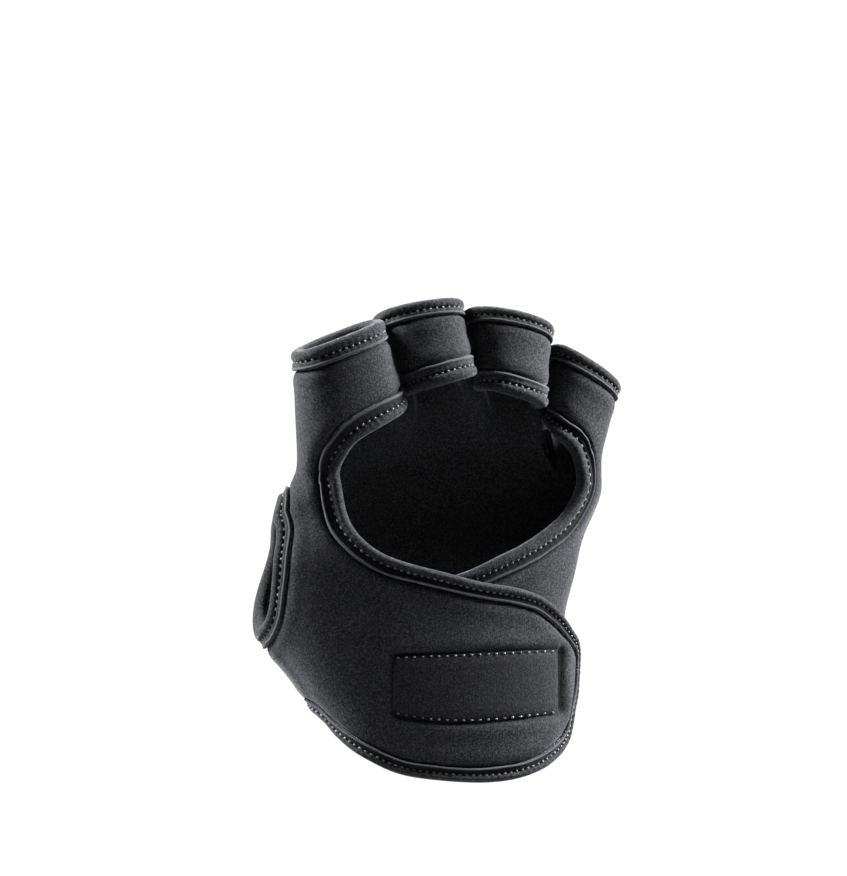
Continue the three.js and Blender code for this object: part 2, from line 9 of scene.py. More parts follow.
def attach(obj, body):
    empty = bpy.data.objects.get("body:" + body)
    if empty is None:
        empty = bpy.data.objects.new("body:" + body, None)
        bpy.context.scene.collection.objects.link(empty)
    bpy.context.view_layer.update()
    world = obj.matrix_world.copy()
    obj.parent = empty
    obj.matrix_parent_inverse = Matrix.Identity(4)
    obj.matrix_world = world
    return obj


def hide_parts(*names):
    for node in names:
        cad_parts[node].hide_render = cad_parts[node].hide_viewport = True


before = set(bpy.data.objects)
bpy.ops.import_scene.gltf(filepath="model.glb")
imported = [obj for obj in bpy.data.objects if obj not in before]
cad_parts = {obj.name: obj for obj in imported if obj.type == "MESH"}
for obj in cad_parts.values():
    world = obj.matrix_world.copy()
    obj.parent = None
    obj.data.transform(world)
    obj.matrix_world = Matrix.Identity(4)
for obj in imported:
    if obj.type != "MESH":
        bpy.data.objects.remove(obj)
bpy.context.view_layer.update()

# ---------------------------------------------------------------- sizes, in millimetres
# The form of the glove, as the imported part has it: the outside of the cloth.
SHEET = 2.8
FLAP_LIFT = 4.4
TURN = 13
KNUCKLE = 97
LOOP_LOW = 118
LOOP_TOP = 144
SQUARE = 0.14
SLIT_LEVEL = 124

SECTIONS = np.array([
    # level, thumb-side x, outer-side x, y there, y there, half depth to the back, to the palm
    (-6, -35.5, 35.2, -4, 3, 22.0, 21),
    (8, -35.5, 35.4, -4, 4, 21.8, 21),
    (20, -39.3, 36.8, -4, 5, 21.5, 22),
    (31, -46.8, 37.8, -3, 6, 21.2, 24),
    (41, -54.7, 38.2, -1, 7, 21.0, 25),
    (50, -59.0, 38.4, 0, 8, 20.6, 25),
    (62, -59.6, 41.2, -1, 9, 20.2, 23),
    (74, -56.4, 44.2, -4, 10, 20.0, 20),
    (84, -50.4, 48.7, -7, 11.5, 19.6, 17),
    (92, -45.4, 50.4, -9, 12, 19.2, 15),
    (100, -44.2, 50.2, -9, 12, 18.6, 14),
    (118, -44.6, 53.0, -9, 13, 17.6, 13),
], float)
# angle, level, their spreads, height
PADS = [(-142, 52, 24, 20, 5.0), (-218, 40, 26, 22, 3.0), (-184, 72, 22, 20, -3.5), (-180, 14, 60, 9, -1.0)]
FINGER = {"index": 0, "middle": 1, "ring": 2, "little": 3}
# left end x and z, right end x and z, depth of the middle, half depth, arch, width of the tape
LOW = np.array([
    (-44.2, 104.0, -10.6, 114.4, -12.0, 12.4, 0.0, 6.4),
    (-10.6, 116.9, 10.2, 122.8, -3.2, 12.2, 1.4, 6.6),
    (11.2, 118.4, 31.8, 113.2, 4.0, 12.0, 1.0, 6.4),
    (31.0, 108.6, 50.6, 103.0, 13.2, 11.0, 0.6, 6.4),
])
TOP = np.array([
    (-44.9, 130.8, -18.4, 140.8, -11.4, 11.0, -0.5, 6.4),
    (-20.8, 141.8, 6.0, 146.0, 2.2, 11.0, 2.7, 5.5),
    (6.4, 143.2, 34.4, 137.6, 9.6, 11.0, 3.4, 4.8),
    (34.0, 133.2, 55.4, 120.2, 17.4, 10.0, 1.8, 5.2),
])
COLUMNS = [
    (-20.0, "index", 103), (-46.0, "index", 0), (-90.0, "index", -90), (-134.0, "index", -180),
    (-158.0, "index", -250), (-160.0, "middle", -110), (-174.0, "middle", -180), (-188.0, "middle", -250),
    (-190.0, "ring", -110), (-204.0, "ring", -180), (-219.0, "ring", -250), (-221.0, "little", -110),
    (-238.0, "little", -180), (-272.0, "little", -270), (-302.0, "little", -360), (-322.0, "little", -463),
]
COL_A = np.array([c[0] for c in COLUMNS])
COL_F = np.array([FINGER[c[1]] for c in COLUMNS])
COL_P = np.array([c[2] for c in COLUMNS], float)
# Edges of the main panel seen from the back: ("x", x, z, w), ("a", angle, z, w), ("u", x on the inner layer, z, w)
# or ("l", angle, level, w); w is the width of the tape.
OPENING_EDGE = [
    ("l", -20.4, 118.0, 6.2), ("x", -11.8, 111.4, 6.6), ("x", -18.8, 106.8, 7.2), ("x", -25.6, 102.4, 7.2),
    ("x", -29.4, 97.0, 7.0), ("x", -30.3, 90.0, 6.9), ("x", -28.6, 81.8, 6.8), ("x", -24.8, 75.2, 6.4),
    ("x", -18.0, 69.8, 6.0), ("x", -10.6, 66.8, 5.6), ("x", 0.8, 63.7, 5.2), ("x", 12.6, 60.6, 5.0),
    ("x", 22.4, 58.9, 5.0), ("x", 31.0, 56.0, 4.8), ("x", 37.2, 50.5, 4.8), ("x", 40.4, 45.6, 4.7),
    ("a", 80.8, 42.0, 4.6), ("a", 86.4, 37.4, 4.6), ("a", 86.8, 33.0, 4.6),
]
HEM_EDGE = [
    ("a", 86.8, 33.0, 4.6), ("a", 86.9, 27.0, 4.6), ("a", 81.4, 19.6, 4.6), ("x", 39.2, 12.0, 4.6),
    ("x", 34.0, 5.2, 4.6), ("x", 26.1, 1.6, 4.6), ("x", 15.0, 0.0, 4.5), ("x", -1.0, 0.8, 4.4),
    ("x", -13.0, 2.8, 4.4), ("x", -23.6, 7.5, 4.4), ("x", -32.6, 14.2, 4.4), ("a", -72, 19.0, 4.4),
    ("a", -95, 20.6, 4.4), ("a", -125, 20.0, 4.4), ("a", -160, 15.0, 4.4), ("a", -200, 11.0, 4.4),
    ("a", -240, 8.6, 4.4), ("a", -280, 7.6, 4.4), ("a", -320, 7.0, 4.4), ("a", -352, 8.0, 4.4),
    ("a", -367, 12.0, 4.4), ("a", -372, 18.0, 4.4), ("a", -373, 24.0, 4.6), ("a", -373, 30.0, 4.6),
]
OUTER_SIDE_EDGE = [
    ("a", -373, 30.0, 4.6), ("a", -373, 36.0, 4.6), ("a", -372, 43.0, 4.8), ("a", -367, 52.0, 5.0),
    ("a", -357, 58.6, 5.4), ("u", 10.0, 64.5, 5.8), ("u", 17.9, 68.2, 6.0), ("u", 28.8, 73.6, 6.2),
    ("u", 37.7, 80.0, 6.4), ("u", 42.3, 87.0, 6.6), ("u", 43.0, 94.0, 6.6), ("u", 40.2, 100.6, 6.6),
    ("u", 34.8, 104.6, 6.4), ("l", -319.2, 118.0, 6.0),
]
THUMB_HOLE = [
    ("a", -79, 83.5, 6.0), ("a", -71, 80.2, 6.0), ("x", -50.3, 75.0, 6.0), ("x", -50.9, 68.6, 6.0),
    ("x", -51.5, 61.0, 6.0), ("x", -52.6, 52.0, 6.0), ("a", -73, 46.0, 6.0), ("a", -90, 45.0, 6.0),
    ("a", -106, 51.0, 6.0), ("a", -117, 61.0, 6.0), ("a", -119, 69.8, 6.0), ("a", -112, 76.4, 6.0),
    ("a", -101, 82.2, 6.0), ("a", -90, 84.5, 6.0),
]
# The label patch on the flap: its upper and lower border, x and z.
LABEL_UPPER = [(-14.0, 38.4), (-6.0, 38.7), (8.0, 39.1), (22.0, 39.6), (36.0, 39.8)]
LABEL_LOWER = [(-15.0, 20.9), (-7.0, 19.4), (2.0, 18.5), (11.0, 18.4), (19.0, 18.8), (28.0, 19.6), (36.0, 20.3)]
LABEL_LEFT, LABEL_RIGHT = -14.2, 35.4
STITCH = 2.05  # pitch of the seams

# ---------------------------------------------------------------- small maths


def wave(lo, hi, v):
    t = np.clip((v - lo) / (hi - lo), 0, 1)
    return t * t * (3 - 2 * t)


def dot(p, q):
    return (p * q).sum(-1)


def unit(v):
    return v / np.maximum(np.linalg.norm(v, axis=-1, keepdims=True), 1e-12)


def spline(xs, ys):
    """Natural cubic spline with straight ends."""
    xs, ys = np.asarray(xs, float), np.asarray(ys, float)
    n = len(xs)
    h = np.diff(xs)
    m = np.zeros(n)
    k = np.zeros((n - 2, n - 2))
    r = 6 * np.diff(np.diff(ys) / h)
    for i in range(n - 2):
        k[i, i] = 2 * (h[i] + h[i + 1])
        if i:
            k[i, i - 1] = h[i]
        if i < n - 3:
            k[i, i + 1] = h[i + 1]
    m[1:-1] = np.linalg.solve(k, r)

    def at(x):
        x = np.asarray(x, float)
        i = np.clip(np.searchsorted(xs, x, side="left") - 1, 0, n - 2)
        d = h[i]
        u = (x - xs[i]) / d
        v = 1 - u
        mid = v * ys[i] + u * ys[i + 1] + d * d * ((v**3 - v) * m[i] + (u**3 - u) * m[i + 1]) / 6
        first = ys[0] + (x - xs[0]) * ((ys[1] - ys[0]) / h[0] - h[0] * m[1] / 6)
        last = ys[-1] + (x - xs[-1]) * ((ys[-1] - ys[-2]) / h[-1] + h[-1] * m[-2] / 6)
        return np.where(x < xs[0], first, np.where(x > xs[-1], last, mid))

    return at


XL, XR, YL, YR, BACK, PALM = [spline(SECTIONS[:, 0], SECTIONS[:, i]) for i in range(1, 7)]

# ---------------------------------------------------------------- the form


def hand_point(a, z):
    zc = np.minimum(z, 124)
    s, c = np.sin(np.radians(a)), np.cos(np.radians(a))
    sx, cy = s * (1 + SQUARE * c * c), c * (1 + SQUARE * s * s)
    xl, xr, yl, yr = XL(zc), XR(zc), YL(zc), YR(zc)
    y = (yr - yl) / 2 * s + (yr + yl) / 2 * s * s - np.where(c > 0, BACK(zc), PALM(zc)) * cy
    for pa, pz, da, dz, h in PADS:
        y = y + h * np.exp(-(((a - pa) / da) ** 2) - ((zc - pz) / dz) ** 2)
    return np.stack([(xl + xr) / 2 + (xr - xl) / 2 * sx, y, z + 0 * s], -1)


def tube_point(f, phi, t):
    phi, t = np.broadcast_arrays(np.asarray(phi, float), np.asarray(t, float))
    low, top = LOW[f], TOP[f]
    xl, zl, xr, zr, y, b, arch = [low[..., i] + (top[..., i] - low[..., i]) * t for i in range(7)]
    s, c = np.sin(np.radians(phi)), np.cos(np.radians(phi))
    sx, cy = s * (1 + SQUARE * c * c), c * (1 + SQUARE * s * s)
    half = (xr - xl) / 2
    st, ct = math.sin(math.radians(TURN)), math.cos(math.radians(TURN))
    return np.stack([
        (xl + xr) / 2 + half * sx * ct + b * cy * st,
        y + half * sx * st - b * cy * ct,
        (zl + zr) / 2 + (zr - zl) / 2 * sx + arch * c,
    ], -1)


def finger_point(a, t):
    a, t = np.broadcast_arrays(np.asarray(a, float), np.asarray(t, float))
    at = np.clip(a, COL_A[-1] - 12, COL_A[0] + 12)
    i = np.clip(np.searchsorted(-COL_A, -at, side="left") - 1, 0, len(COL_A) - 2)
    u = (at - COL_A[i]) / (COL_A[i + 1] - COL_A[i])
    same = COL_F[i] == COL_F[i + 1]
    first = tube_point(COL_F[i], np.where(same, COL_P[i] + (COL_P[i + 1] - COL_P[i]) * u, COL_P[i]), t)
    second = tube_point(COL_F[i + 1], COL_P[i + 1], t)
    return np.where(same[..., None], first, first + (second - first) * u[..., None])


def form(a, z):
    a, z = np.broadcast_arrays(np.asarray(a, float), np.asarray(z, float))
    drop = np.where(z > 60, (finger_point(a, 0.0)[..., 2] - LOOP_LOW) * wave(60, 118, z), 0)
    hand = hand_point(a, z + drop)
    lift = FLAP_LIFT * wave(-66, -30, a) * (1 - wave(64, 88, z))
    ahead = hand_point(a + 0.5, z + drop) - hand
    out = unit(np.stack([ahead[..., 1], -ahead[..., 0], 0 * lift], -1))
    hand = hand + out * lift[..., None]
    w = wave(KNUCKLE, LOOP_LOW + 3, z)[..., None]
    return hand + (finger_point(a, (z - LOOP_LOW) / (LOOP_TOP - LOOP_LOW)) - hand) * w


def tube(name):
    f = FINGER[name]
    return lambda phi, level: tube_point(f, phi, (np.asarray(level, float) - LOOP_LOW) / (LOOP_TOP - LOOP_LOW))


def normal_of(surface, a, z, e=0.25):
    da = surface(a + e, z) - surface(a - e, z)
    dz = surface(a, z + e) - surface(a, z - e)
    return unit(np.cross(da, dz))


def level_at(a, z):
    a, z = np.broadcast_arrays(np.asarray(a, float), np.asarray(z, float))
    lo, hi = z - 20, z + 30
    for _ in range(24):
        mid = (lo + hi) / 2
        below = form(a, mid)[..., 2] < z
        lo, hi = np.where(below, mid, lo), np.where(below, hi, mid)
    return lo


def find_on_back(x, z, start, stop):
    a = np.arange(start, stop - 0.5, -1.0)
    if z > 110:
        a = a[a <= COL_A[0]]
    level = level_at(a, z)
    off = form(a, level)[:, 0] - x
    i = np.nonzero(np.sign(off[1:]) != np.sign(off[:-1]))[0][0]
    u = off[i] / (off[i] - off[i + 1])
    return a[i] + (a[i + 1] - a[i]) * u, level[i] + (level[i + 1] - level[i]) * u


def place(row):
    kind, p, q, w = row
    if kind == "l":
        return p, q, w
    if kind == "a":
        return p, float(level_at(p, q)), w
    if kind == "u":
        return (*find_on_back(p, q, -266, -372), w)
    return (*find_on_back(p, q, 89 if q < 58 else 60, -89), w)


def catmull(p, closed, per=40):
    """Centripetal spline through the rows of p."""
    n = len(p)
    out = []
    for i in range(n if closed else n - 1):
        p1, p2 = p[i % n], p[(i + 1) % n]
        p0 = p[(i - 1) % n] if closed or i > 0 else 2 * p[0] - p[1]
        p3 = p[(i + 2) % n] if closed or i + 2 < n else 2 * p[-1] - p[-2]
        d0, d1, d2 = [max(float(((u - v) ** 2).sum()) ** 0.25, 1e-4) for u, v in ((p0, p1), (p1, p2), (p2, p3))]
        t1 = ((p1 - p0) / d0 - (p2 - p0) / (d0 + d1) + (p2 - p1) / d1) * d1
        t2 = ((p2 - p1) / d1 - (p3 - p1) / (d1 + d2) + (p3 - p2) / d2) * d1
        u = (np.arange(per) / per)[:, None]
        out.append(p1 + t1 * u + (-3 * p1 + 3 * p2 - 2 * t1 - t2) * u**2 + (2 * p1 - 2 * p2 + t1 + t2) * u**3)
    if not closed:
        out.append(p[-1:])
    return np.concatenate(out)


class Line:
    """An edge laid on a surface, with points at an even pitch along the cloth."""

    def __init__(self, surface, pts, closed, side, groove=0.6, pitch=0.55):
        self.surface, self.closed, self.side, self.groove = surface, closed, side, groove
        if closed:
            pts = np.concatenate([pts, pts[:1] + ([[360, 0, 0]] if closed == "ring" else [[0, 0, 0]])])
        at = surface(pts[:, 0], pts[:, 1])
        run = np.concatenate([[0], np.cumsum(np.linalg.norm(np.diff(at, axis=0), axis=1))])
        self.length = run[-1]
        n = max(8, int(round(self.length / pitch)))
        self.s = np.linspace(0, self.length, n + 1)
        if closed:
            self.s = self.s[:-1]
        self.a, self.z, self.w = [np.interp(self.s, run, pts[:, k]) for k in range(3)]
        self.pts = surface(self.a, self.z)
        if closed:
            run = np.roll(self.pts, -1, 0) - np.roll(self.pts, 1, 0)
        else:
            run = np.gradient(self.pts, axis=0)
        for _ in range(4):
            if closed:
                run = (np.roll(run, 1, 0) + 2 * run + np.roll(run, -1, 0)) / 4
            else:
                run[1:-1] = (run[:-2] + 2 * run[1:-1] + run[2:]) / 4
        self.run = unit(run)

    def inward(self, b):
        """The places at distances b (points along, steps in) from the edge, walking square to it on the cloth."""
        b = np.asarray(b, float)
        a = np.repeat(self.a[:, None], b.shape[1], 1)
        z = np.repeat(self.z[:, None], b.shape[1], 1)
        run = self.run[:, None, :]
        e, steps = 0.2, 3
        for _ in range(steps):
            da = (self.surface(a + e, z) - self.surface(a - e, z)) / (2 * e)
            dz = (self.surface(a, z + e) - self.surface(a, z - e)) / (2 * e)
            n = unit(np.cross(da, dz))
            d = unit(np.cross(n, run)) * self.side
            aa, zz, az, pa, pz = dot(da, da), dot(dz, dz), dot(da, dz), dot(d, da), dot(d, dz)
            det = aa * zz - az * az
            a = a + (pa * zz - pz * az) / det * b / steps
            z = z + (pz * aa - pa * az) / det * b / steps
        return a, z

    def cut(self, share, extra=0.0):
        a, z = self.inward((self.w * share + extra)[:, None])
        return np.stack([a[:, 0], z[:, 0]], 1)


def edge(rows, closed=False):
    p = np.array([place(r) for r in rows])
    p[:, 2] *= 4
    p = catmull(p, closed)
    p[:, 2] /= 4
    return p


# ---------------------------------------------------------------- making pieces


def make(name, verts, faces, smooth=True, weave=None, extra=None):
    mesh = bpy.data.meshes.new(name)
    verts = np.asarray(verts, np.float32)
    if isinstance(faces, np.ndarray):
        n, k = faces.shape
        mesh.vertices.add(len(verts))
        mesh.vertices.foreach_set("co", (verts * 0.001).ravel())
        mesh.loops.add(n * k)
        mesh.loops.foreach_set("vertex_index", faces.astype(np.int32).ravel())
        mesh.polygons.add(n)
        mesh.polygons.foreach_set("loop_start", np.arange(0, n * k, k, dtype=np.int32))
        mesh.polygons.foreach_set("loop_total", np.full(n, k, np.int32))
        mesh.update(calc_edges=True)
    else:
        mesh.from_pydata((verts * 0.001).tolist(), [], faces)
    mesh.validate()
    mesh.polygons.foreach_set("use_smooth", np.full(len(mesh.polygons), smooth, bool))
    for key, data in {"weave": weave, **(extra or {})}.items():
        if data is not None:
            data = np.asarray(data, np.float32)
            if data.ndim == 1:
                mesh.attributes.new(key, "FLOAT", "POINT").data.foreach_set("value", data)
            else:
                mesh.attributes.new(key, "FLOAT_VECTOR", "POINT").data.foreach_set("vector", data.ravel())
    obj = bpy.data.objects.new(name, mesh)
    bpy.context.scene.collection.objects.link(obj)
    return obj


def fix_winding(verts, faces):
    """Faces turned so that the closed mesh holds a positive volume."""
    p, q = verts[faces[:, 0]], verts[faces[:, 1]]
    total = 0.0
    for k in range(2, faces.shape[1]):
        r = verts[faces[:, k]]
        total += (p * np.cross(q, r)).sum()
        q = r
    return faces if total > 0 else faces[:, ::-1]


def sweep_faces(n, k, closed):
    i = np.arange(n if closed else n - 1)[:, None]
    j = np.arange(k)[None, :]
    nxt = (i + 1) % n
    jn = (j + 1) % k
    return np.stack([i * k + j, i * k + jn, nxt * k + jn, nxt * k + j], -1).reshape(-1, 4)


# Profile of an edge tape folded over the cloth's edge: share of its width from the edge, height over the middle
# of the cloth. The roll at the edge, the groove that the seam pulls in, the flange, and the fold at its end.
FACE = np.array([
    (1.000, 1.02), (0.998, 1.20), (0.990, 1.50), (0.972, 1.82), (0.948, 2.02), (0.920, 2.12), (0.890, 2.12),
    (0.862, 2.02), (0.838, 1.90), (0.810, 1.83), (0.775, 1.84), (0.740, 1.86), (0.705, 1.84), (0.672, 1.74),
    (0.645, 1.58), (0.622, 1.42), (0.600, 1.34), (0.578, 1.38), (0.555, 1.54), (0.525, 1.78), (0.490, 1.96),
    (0.445, 2.10), (0.390, 2.20), (0.330, 2.24), (0.270, 2.22), (0.210, 2.14), (0.155, 1.98), (0.105, 1.74),
    (0.062, 1.42), (0.030, 1.02), (0.010, 0.56), (0.000, 0.10),
])
GROOVE = 0.60


def warp(u, groove):
    """Shares of the width with the seam's groove moved from GROOVE to groove."""
    return np.where(u <= GROOVE, u * groove / GROOVE, groove + (u - GROOVE) * (1 - groove) / (1 - GROOVE))


def tape_profile(groove, sunk=0.0):
    out = FACE.copy()
    out[:, 1] -= 0.42 * sunk * band_of(out[:, 0])
    out[:, 0] = warp(out[:, 0], groove)
    inner = out[::-1].copy()
    inner[:, 1] = -(inner[:, 1] - 0.06)
    hollow = np.array([(1.0, -0.96), (0.93, -1.0), (0.6, -1.0), (0.36, -0.98), (0.30, -0.6), (0.29, 0.0),
                       (0.30, 0.6), (0.36, 0.98), (0.6, 1.0), (0.93, 1.0), (1.0, 0.96)])
    return np.concatenate([out, inner[1:] * [1, 1], hollow[1:-1]])


def band_of(u):
    """The flange between the seam and the fold at the tape's end."""
    return wave(0.56, 0.63, u) * (1 - wave(0.865, 0.91, u))


def slow(s, seed, length=18.0):
    """A slow, uneven wave along a seam, the same in each run."""
    rng = np.random.default_rng(seed)
    total = np.zeros_like(s)
    for k in range(6):
        total += np.sin(s * 2 * math.pi / (length * rng.uniform(0.45, 1.6)) + rng.uniform(0, 6.283)) / 6**0.5
    return total


def tape(name, line, seed, flat=1.0, taper=0.0, ease=None, sunk=0.0):
    """A folded tape along a line. taper pinches its open ends over that many millimetres; ease is the share of its
    height over the cloth that it keeps, for each angle round the hand."""
    prof = tape_profile(line.groove, sunk)
    g = line.groove
    n, k = len(line.s), len(prof)
    w = line.w * (1 + 0.016 * slow(line.s, seed))
    if line.closed:
        # the slow waves meet where the tape's two ends are joined
        near = np.minimum(line.s, line.length - line.s)
        blend = wave(0, 10, near)
        w = line.w * (1 + (w / line.w - 1) * blend)
    b = prof[None, :, 0] * w[:, None]
    a, z = line.inward(b)
    pos = line.surface(a, z)
    nrm = normal_of(line.surface, a, z)
    h = np.repeat(prof[None, :, 1], n, 0)
    shell = (np.arange(k) < 2 * len(FACE) - 1)[None, :]
    u = prof[None, :, 0]
    # the seam's thread pulls the tape in at each hole
    count = max(1, round(line.length / STITCH))
    phase = line.s / line.length * count * 2 * math.pi
    pull = np.exp(-(((u - g) / 0.13) ** 2)) * 0.13 + np.exp(-(((u - 0.66 * g) / 0.16) ** 2)) * 0.07
    pull = pull + np.exp(-(((u - 0.8) / 0.08) ** 2)) * 0.05
    h = h - np.sign(h) * shell * pull * np.cos(phase)[:, None]
    roll = wave(0.62, 0.30, u)
    h = h + np.sign(h) * shell * (roll * 0.07 * slow(line.s, seed + 1, 13)[:, None]
                                  + wave(0.66, 0.9, u) * 0.05 * slow(line.s, seed + 2, 16)[:, None]) * (
        wave(0, 8, np.minimum(line.s, line.length - line.s))[:, None])
    if taper:
        end = wave(0, taper, np.minimum(line.s, line.length - line.s))[:, None]
        h = h * (0.55 + 0.45 * end)
    h = h * flat
    if ease is not None:
        over = np.maximum(np.abs(h) - 1.42, 0) * shell
        h = h - np.sign(h) * over * (1 - ease(line.a))[:, None]
    pos = pos + nrm * (h - SHEET / 2)[..., None]
    verts = pos.reshape(-1, 3)
    faces = sweep_faces(n, k, bool(line.closed))
    weave = np.stack([np.repeat(line.s[:, None], k, 1), np.repeat(np.cumsum(np.r_[0, np.linalg.norm(np.diff(prof * [6, 1], axis=0), axis=1)])[None], n, 0), np.zeros((n, k))], -1)
    weave = weave.reshape(-1, 3)
    raw = np.where(u <= g, u * GROOVE / g, GROOVE + (u - g) * (1 - GROOVE) / (1 - g))
    # painted shade: the colour is darkened along the seam's groove and over the sunk flange, where shade falls; it goes
    # to the groove attribute
    dark = np.maximum(np.exp(-(((u - g) / 0.07) ** 2)), 0.88 * sunk * band_of(raw))
    shade = np.repeat(dark * shell, n, 0).reshape(-1)
    # painted highlight: a lighter colour along the ridge of the fold at the tape's end, where the light catches it
    painted_crest_highlight = np.repeat((np.exp(-(((u - (0.905 + 0.02 * sunk)) / 0.040) ** 2)) * shell), n, 0).reshape(-1)
    if line.closed:
        faces = fix_winding(verts, faces)
    else:
        faces = faces.tolist() + end_caps(prof, n, k)
        faces = turned(verts, faces)
    obj = make(name, verts, faces, weave=weave, extra={"groove": shade, "painted_crest_highlight": painted_crest_highlight})
    obj["seam"] = json.dumps([count])
    return obj


def end_caps(prof, n, k):
    """The two ends of an open tape: strips between its outside and its hollow."""
    m = 2 * len(FACE) - 1
    hollow = list(range(m, k))
    loop = list(range(k))
    tris = geometry.tessellate_polygon([[Vector((p[0] * 6, p[1], 0)) for p in prof]])
    out = []
    for t in tris:
        a, b, c = [loop[i] for i in t]
        out.append([c, b, a])
        e = (n - 1) * k
        out.append([e + a, e + b, e + c])
    return out


def turned(verts, faces):
    """Faces of mixed sizes with one winding, outward."""
    import bmesh

    mesh = bpy.data.meshes.new("tmp")
    mesh.from_pydata(verts.tolist(), [], faces)
    bm = bmesh.new()
    bm.from_mesh(mesh)
    bmesh.ops.recalc_face_normals(bm, faces=bm.faces)
    out = [[v.index for v in f.verts] for f in bm.faces]
    bm.free()
    bpy.data.meshes.remove(mesh)
    return out


def thread(name, centres, runs, normals, across, length=1.05, r=0.27, slant=0.0, dip=0.3, seed=5):
    """Seam threads: one short rounded stroke for each stitch, its ends going down into the cloth."""
    rng = np.random.default_rng(seed)
    rings, seg = 7, 8
    us = np.linspace(-1, 1, rings)
    body = []
    for u in us:
        rr = r * max(0.0, 1 - abs(u) ** 4) ** 0.5 if abs(u) < 1 else r * 0.25
        for k in range(seg):
            t = 2 * math.pi * k / seg
            body.append((u * length / 2, rr * math.cos(t), rr * math.sin(t) - dip * u * u))
    body = np.array(body + [(-length / 2 - 0.04, 0, -dip), (length / 2 + 0.04, 0, -dip)])
    n = len(centres)
    angle = np.radians(slant + rng.normal(0, 3.5, n))
    size = rng.normal(1, 0.05, n)
    ca, sa = np.cos(angle), np.sin(angle)
    run = runs * ca[:, None] + across * sa[:, None]
    side = across * ca[:, None] - runs * sa[:, None]
    verts = (centres[:, None] + run[:, None] * body[None, :, :1] * size[:, None, None]
             + side[:, None] * body[None, :, 1:2] + normals[:, None] * body[None, :, 2:3])
    m = len(body)
    faces = []
    for i in range(rings - 1):
        for j in range(seg):
            a, b = i * seg + j, i * seg + (j + 1) % seg
            faces.append((a, b, b + seg, b + seg))
            faces[-1] = (a, b, b + seg, a + seg)
    quads = np.array(faces)
    caps = []
    for j in range(seg):
        caps.append((m - 2, (j + 1) % seg, j))
        caps.append((m - 1, (rings - 1) * seg + j, (rings - 1) * seg + (j + 1) % seg))
    out = []
    offs = (np.arange(n) * m)[:, None, None]
    q = (quads[None] + offs).reshape(-1, 4)
    t = (np.array(caps)[None] + offs).reshape(-1, 3)
    out = q.tolist() + t.tolist()
    verts = verts.reshape(-1, 3)
    p = verts[q[:, 0]]
    vol = (p * np.cross(verts[q[:, 1]], verts[q[:, 2]])).sum() + (p * np.cross(verts[q[:, 2]], verts[q[:, 3]])).sum()
    if vol < 0:
        out = [f[::-1] for f in out]
    tone = np.repeat(rng.uniform(0, 1, n), m)
    return make(name, verts, out, extra={"tone": tone})


def seam(name, line, seed, slant=0.0, inside=True):
    count = max(1, round(line.length / STITCH))
    s = (np.arange(count) + 0.5) * line.length / count
    sub = Line.__new__(Line)
    sub.surface, sub.closed, sub.side = line.surface, line.closed, line.side
    src = np.concatenate([line.s, [line.length]]) if line.closed else line.s
    ext = (lambda v, turn=0.0: np.concatenate([v, v[:1] + turn])) if line.closed else (lambda v, turn=0.0: v)
    sub.a = np.interp(s, src, ext(line.a, 360.0 if line.closed == "ring" else 0.0))
    sub.z, sub.w = np.interp(s, src, ext(line.z)), np.interp(s, src, ext(line.w))
    sub.run = unit(np.stack([np.interp(s, src, ext(line.run[:, k])) for k in range(3)], 1))
    a, z = sub.inward((sub.w * line.groove)[:, None])
    a, z = a[:, 0], z[:, 0]
    base, nrm = line.surface(a, z), normal_of(line.surface, a, z)
    run = unit(sub.run - nrm * dot(sub.run, nrm)[:, None])
    across = np.cross(nrm, run)
    parts = [(base + nrm * (1.56 - SHEET / 2), run, nrm, across)]
    if inside:
        parts.append((base + nrm * (-1.50 - SHEET / 2), run, -nrm, across))
    both = [np.concatenate([p[i] for p in parts]) for i in range(4)]
    return thread(name, *both, slant=slant, seed=seed)


# ---------------------------------------------------------------- the edges
opening = Line(form, edge(OPENING_EDGE), False, -1, 0.52)
hem = Line(form, edge(HEM_EDGE), False, -1, 0.52)
outer_side = Line(form, edge(OUTER_SIDE_EDGE), False, -1, 0.55)
thumb = Line(form, edge(THUMB_HOLE, True), True, 1, 0.58)
uppers, lowers = {}, {}
for name, f in FINGER.items():
    phi = np.arange(0, 360, 1.0)
    pts = np.stack([phi, np.full_like(phi, LOOP_TOP), np.full_like(phi, TOP[f, 7])], 1)
    uppers[name] = Line(tube(name), pts, "ring", -1)
for name in ("middle", "ring"):
    phi = np.arange(-104, 104.5, 1.0)
    pts = np.stack([phi, np.full_like(phi, LOOP_LOW), np.full_like(phi, LOW[FINGER[name], 7])], 1)
    lowers[name] = Line(tube(name), pts, False, 1, 0.50)

# ---------------------------------------------------------------- cloth


def inside_polygon(p, poly):
    x, y = p[:, 0], p[:, 1]
    odd = np.zeros(len(p), bool)
    for (x0, y0), (x1, y1) in zip(poly, np.roll(poly, -1, 0)):
        if y0 == y1:
            continue
        cross = (y0 > y) != (y1 > y)
        odd ^= cross & (x < (x1 - x0) * (y - y0) / (y1 - y0) + x0)
    return odd


def near_polygon(p, poly):
    best = np.full(len(p), 1e9)
    for q0, q1 in zip(poly, np.roll(poly, -1, 0)):
        d = q1 - q0
        t = np.clip(((p - q0) @ d) / max(d @ d, 1e-12), 0, 1)
        best = np.minimum(best, ((p - q0 - t[:, None] * d) ** 2).sum(1))
    return np.sqrt(best)


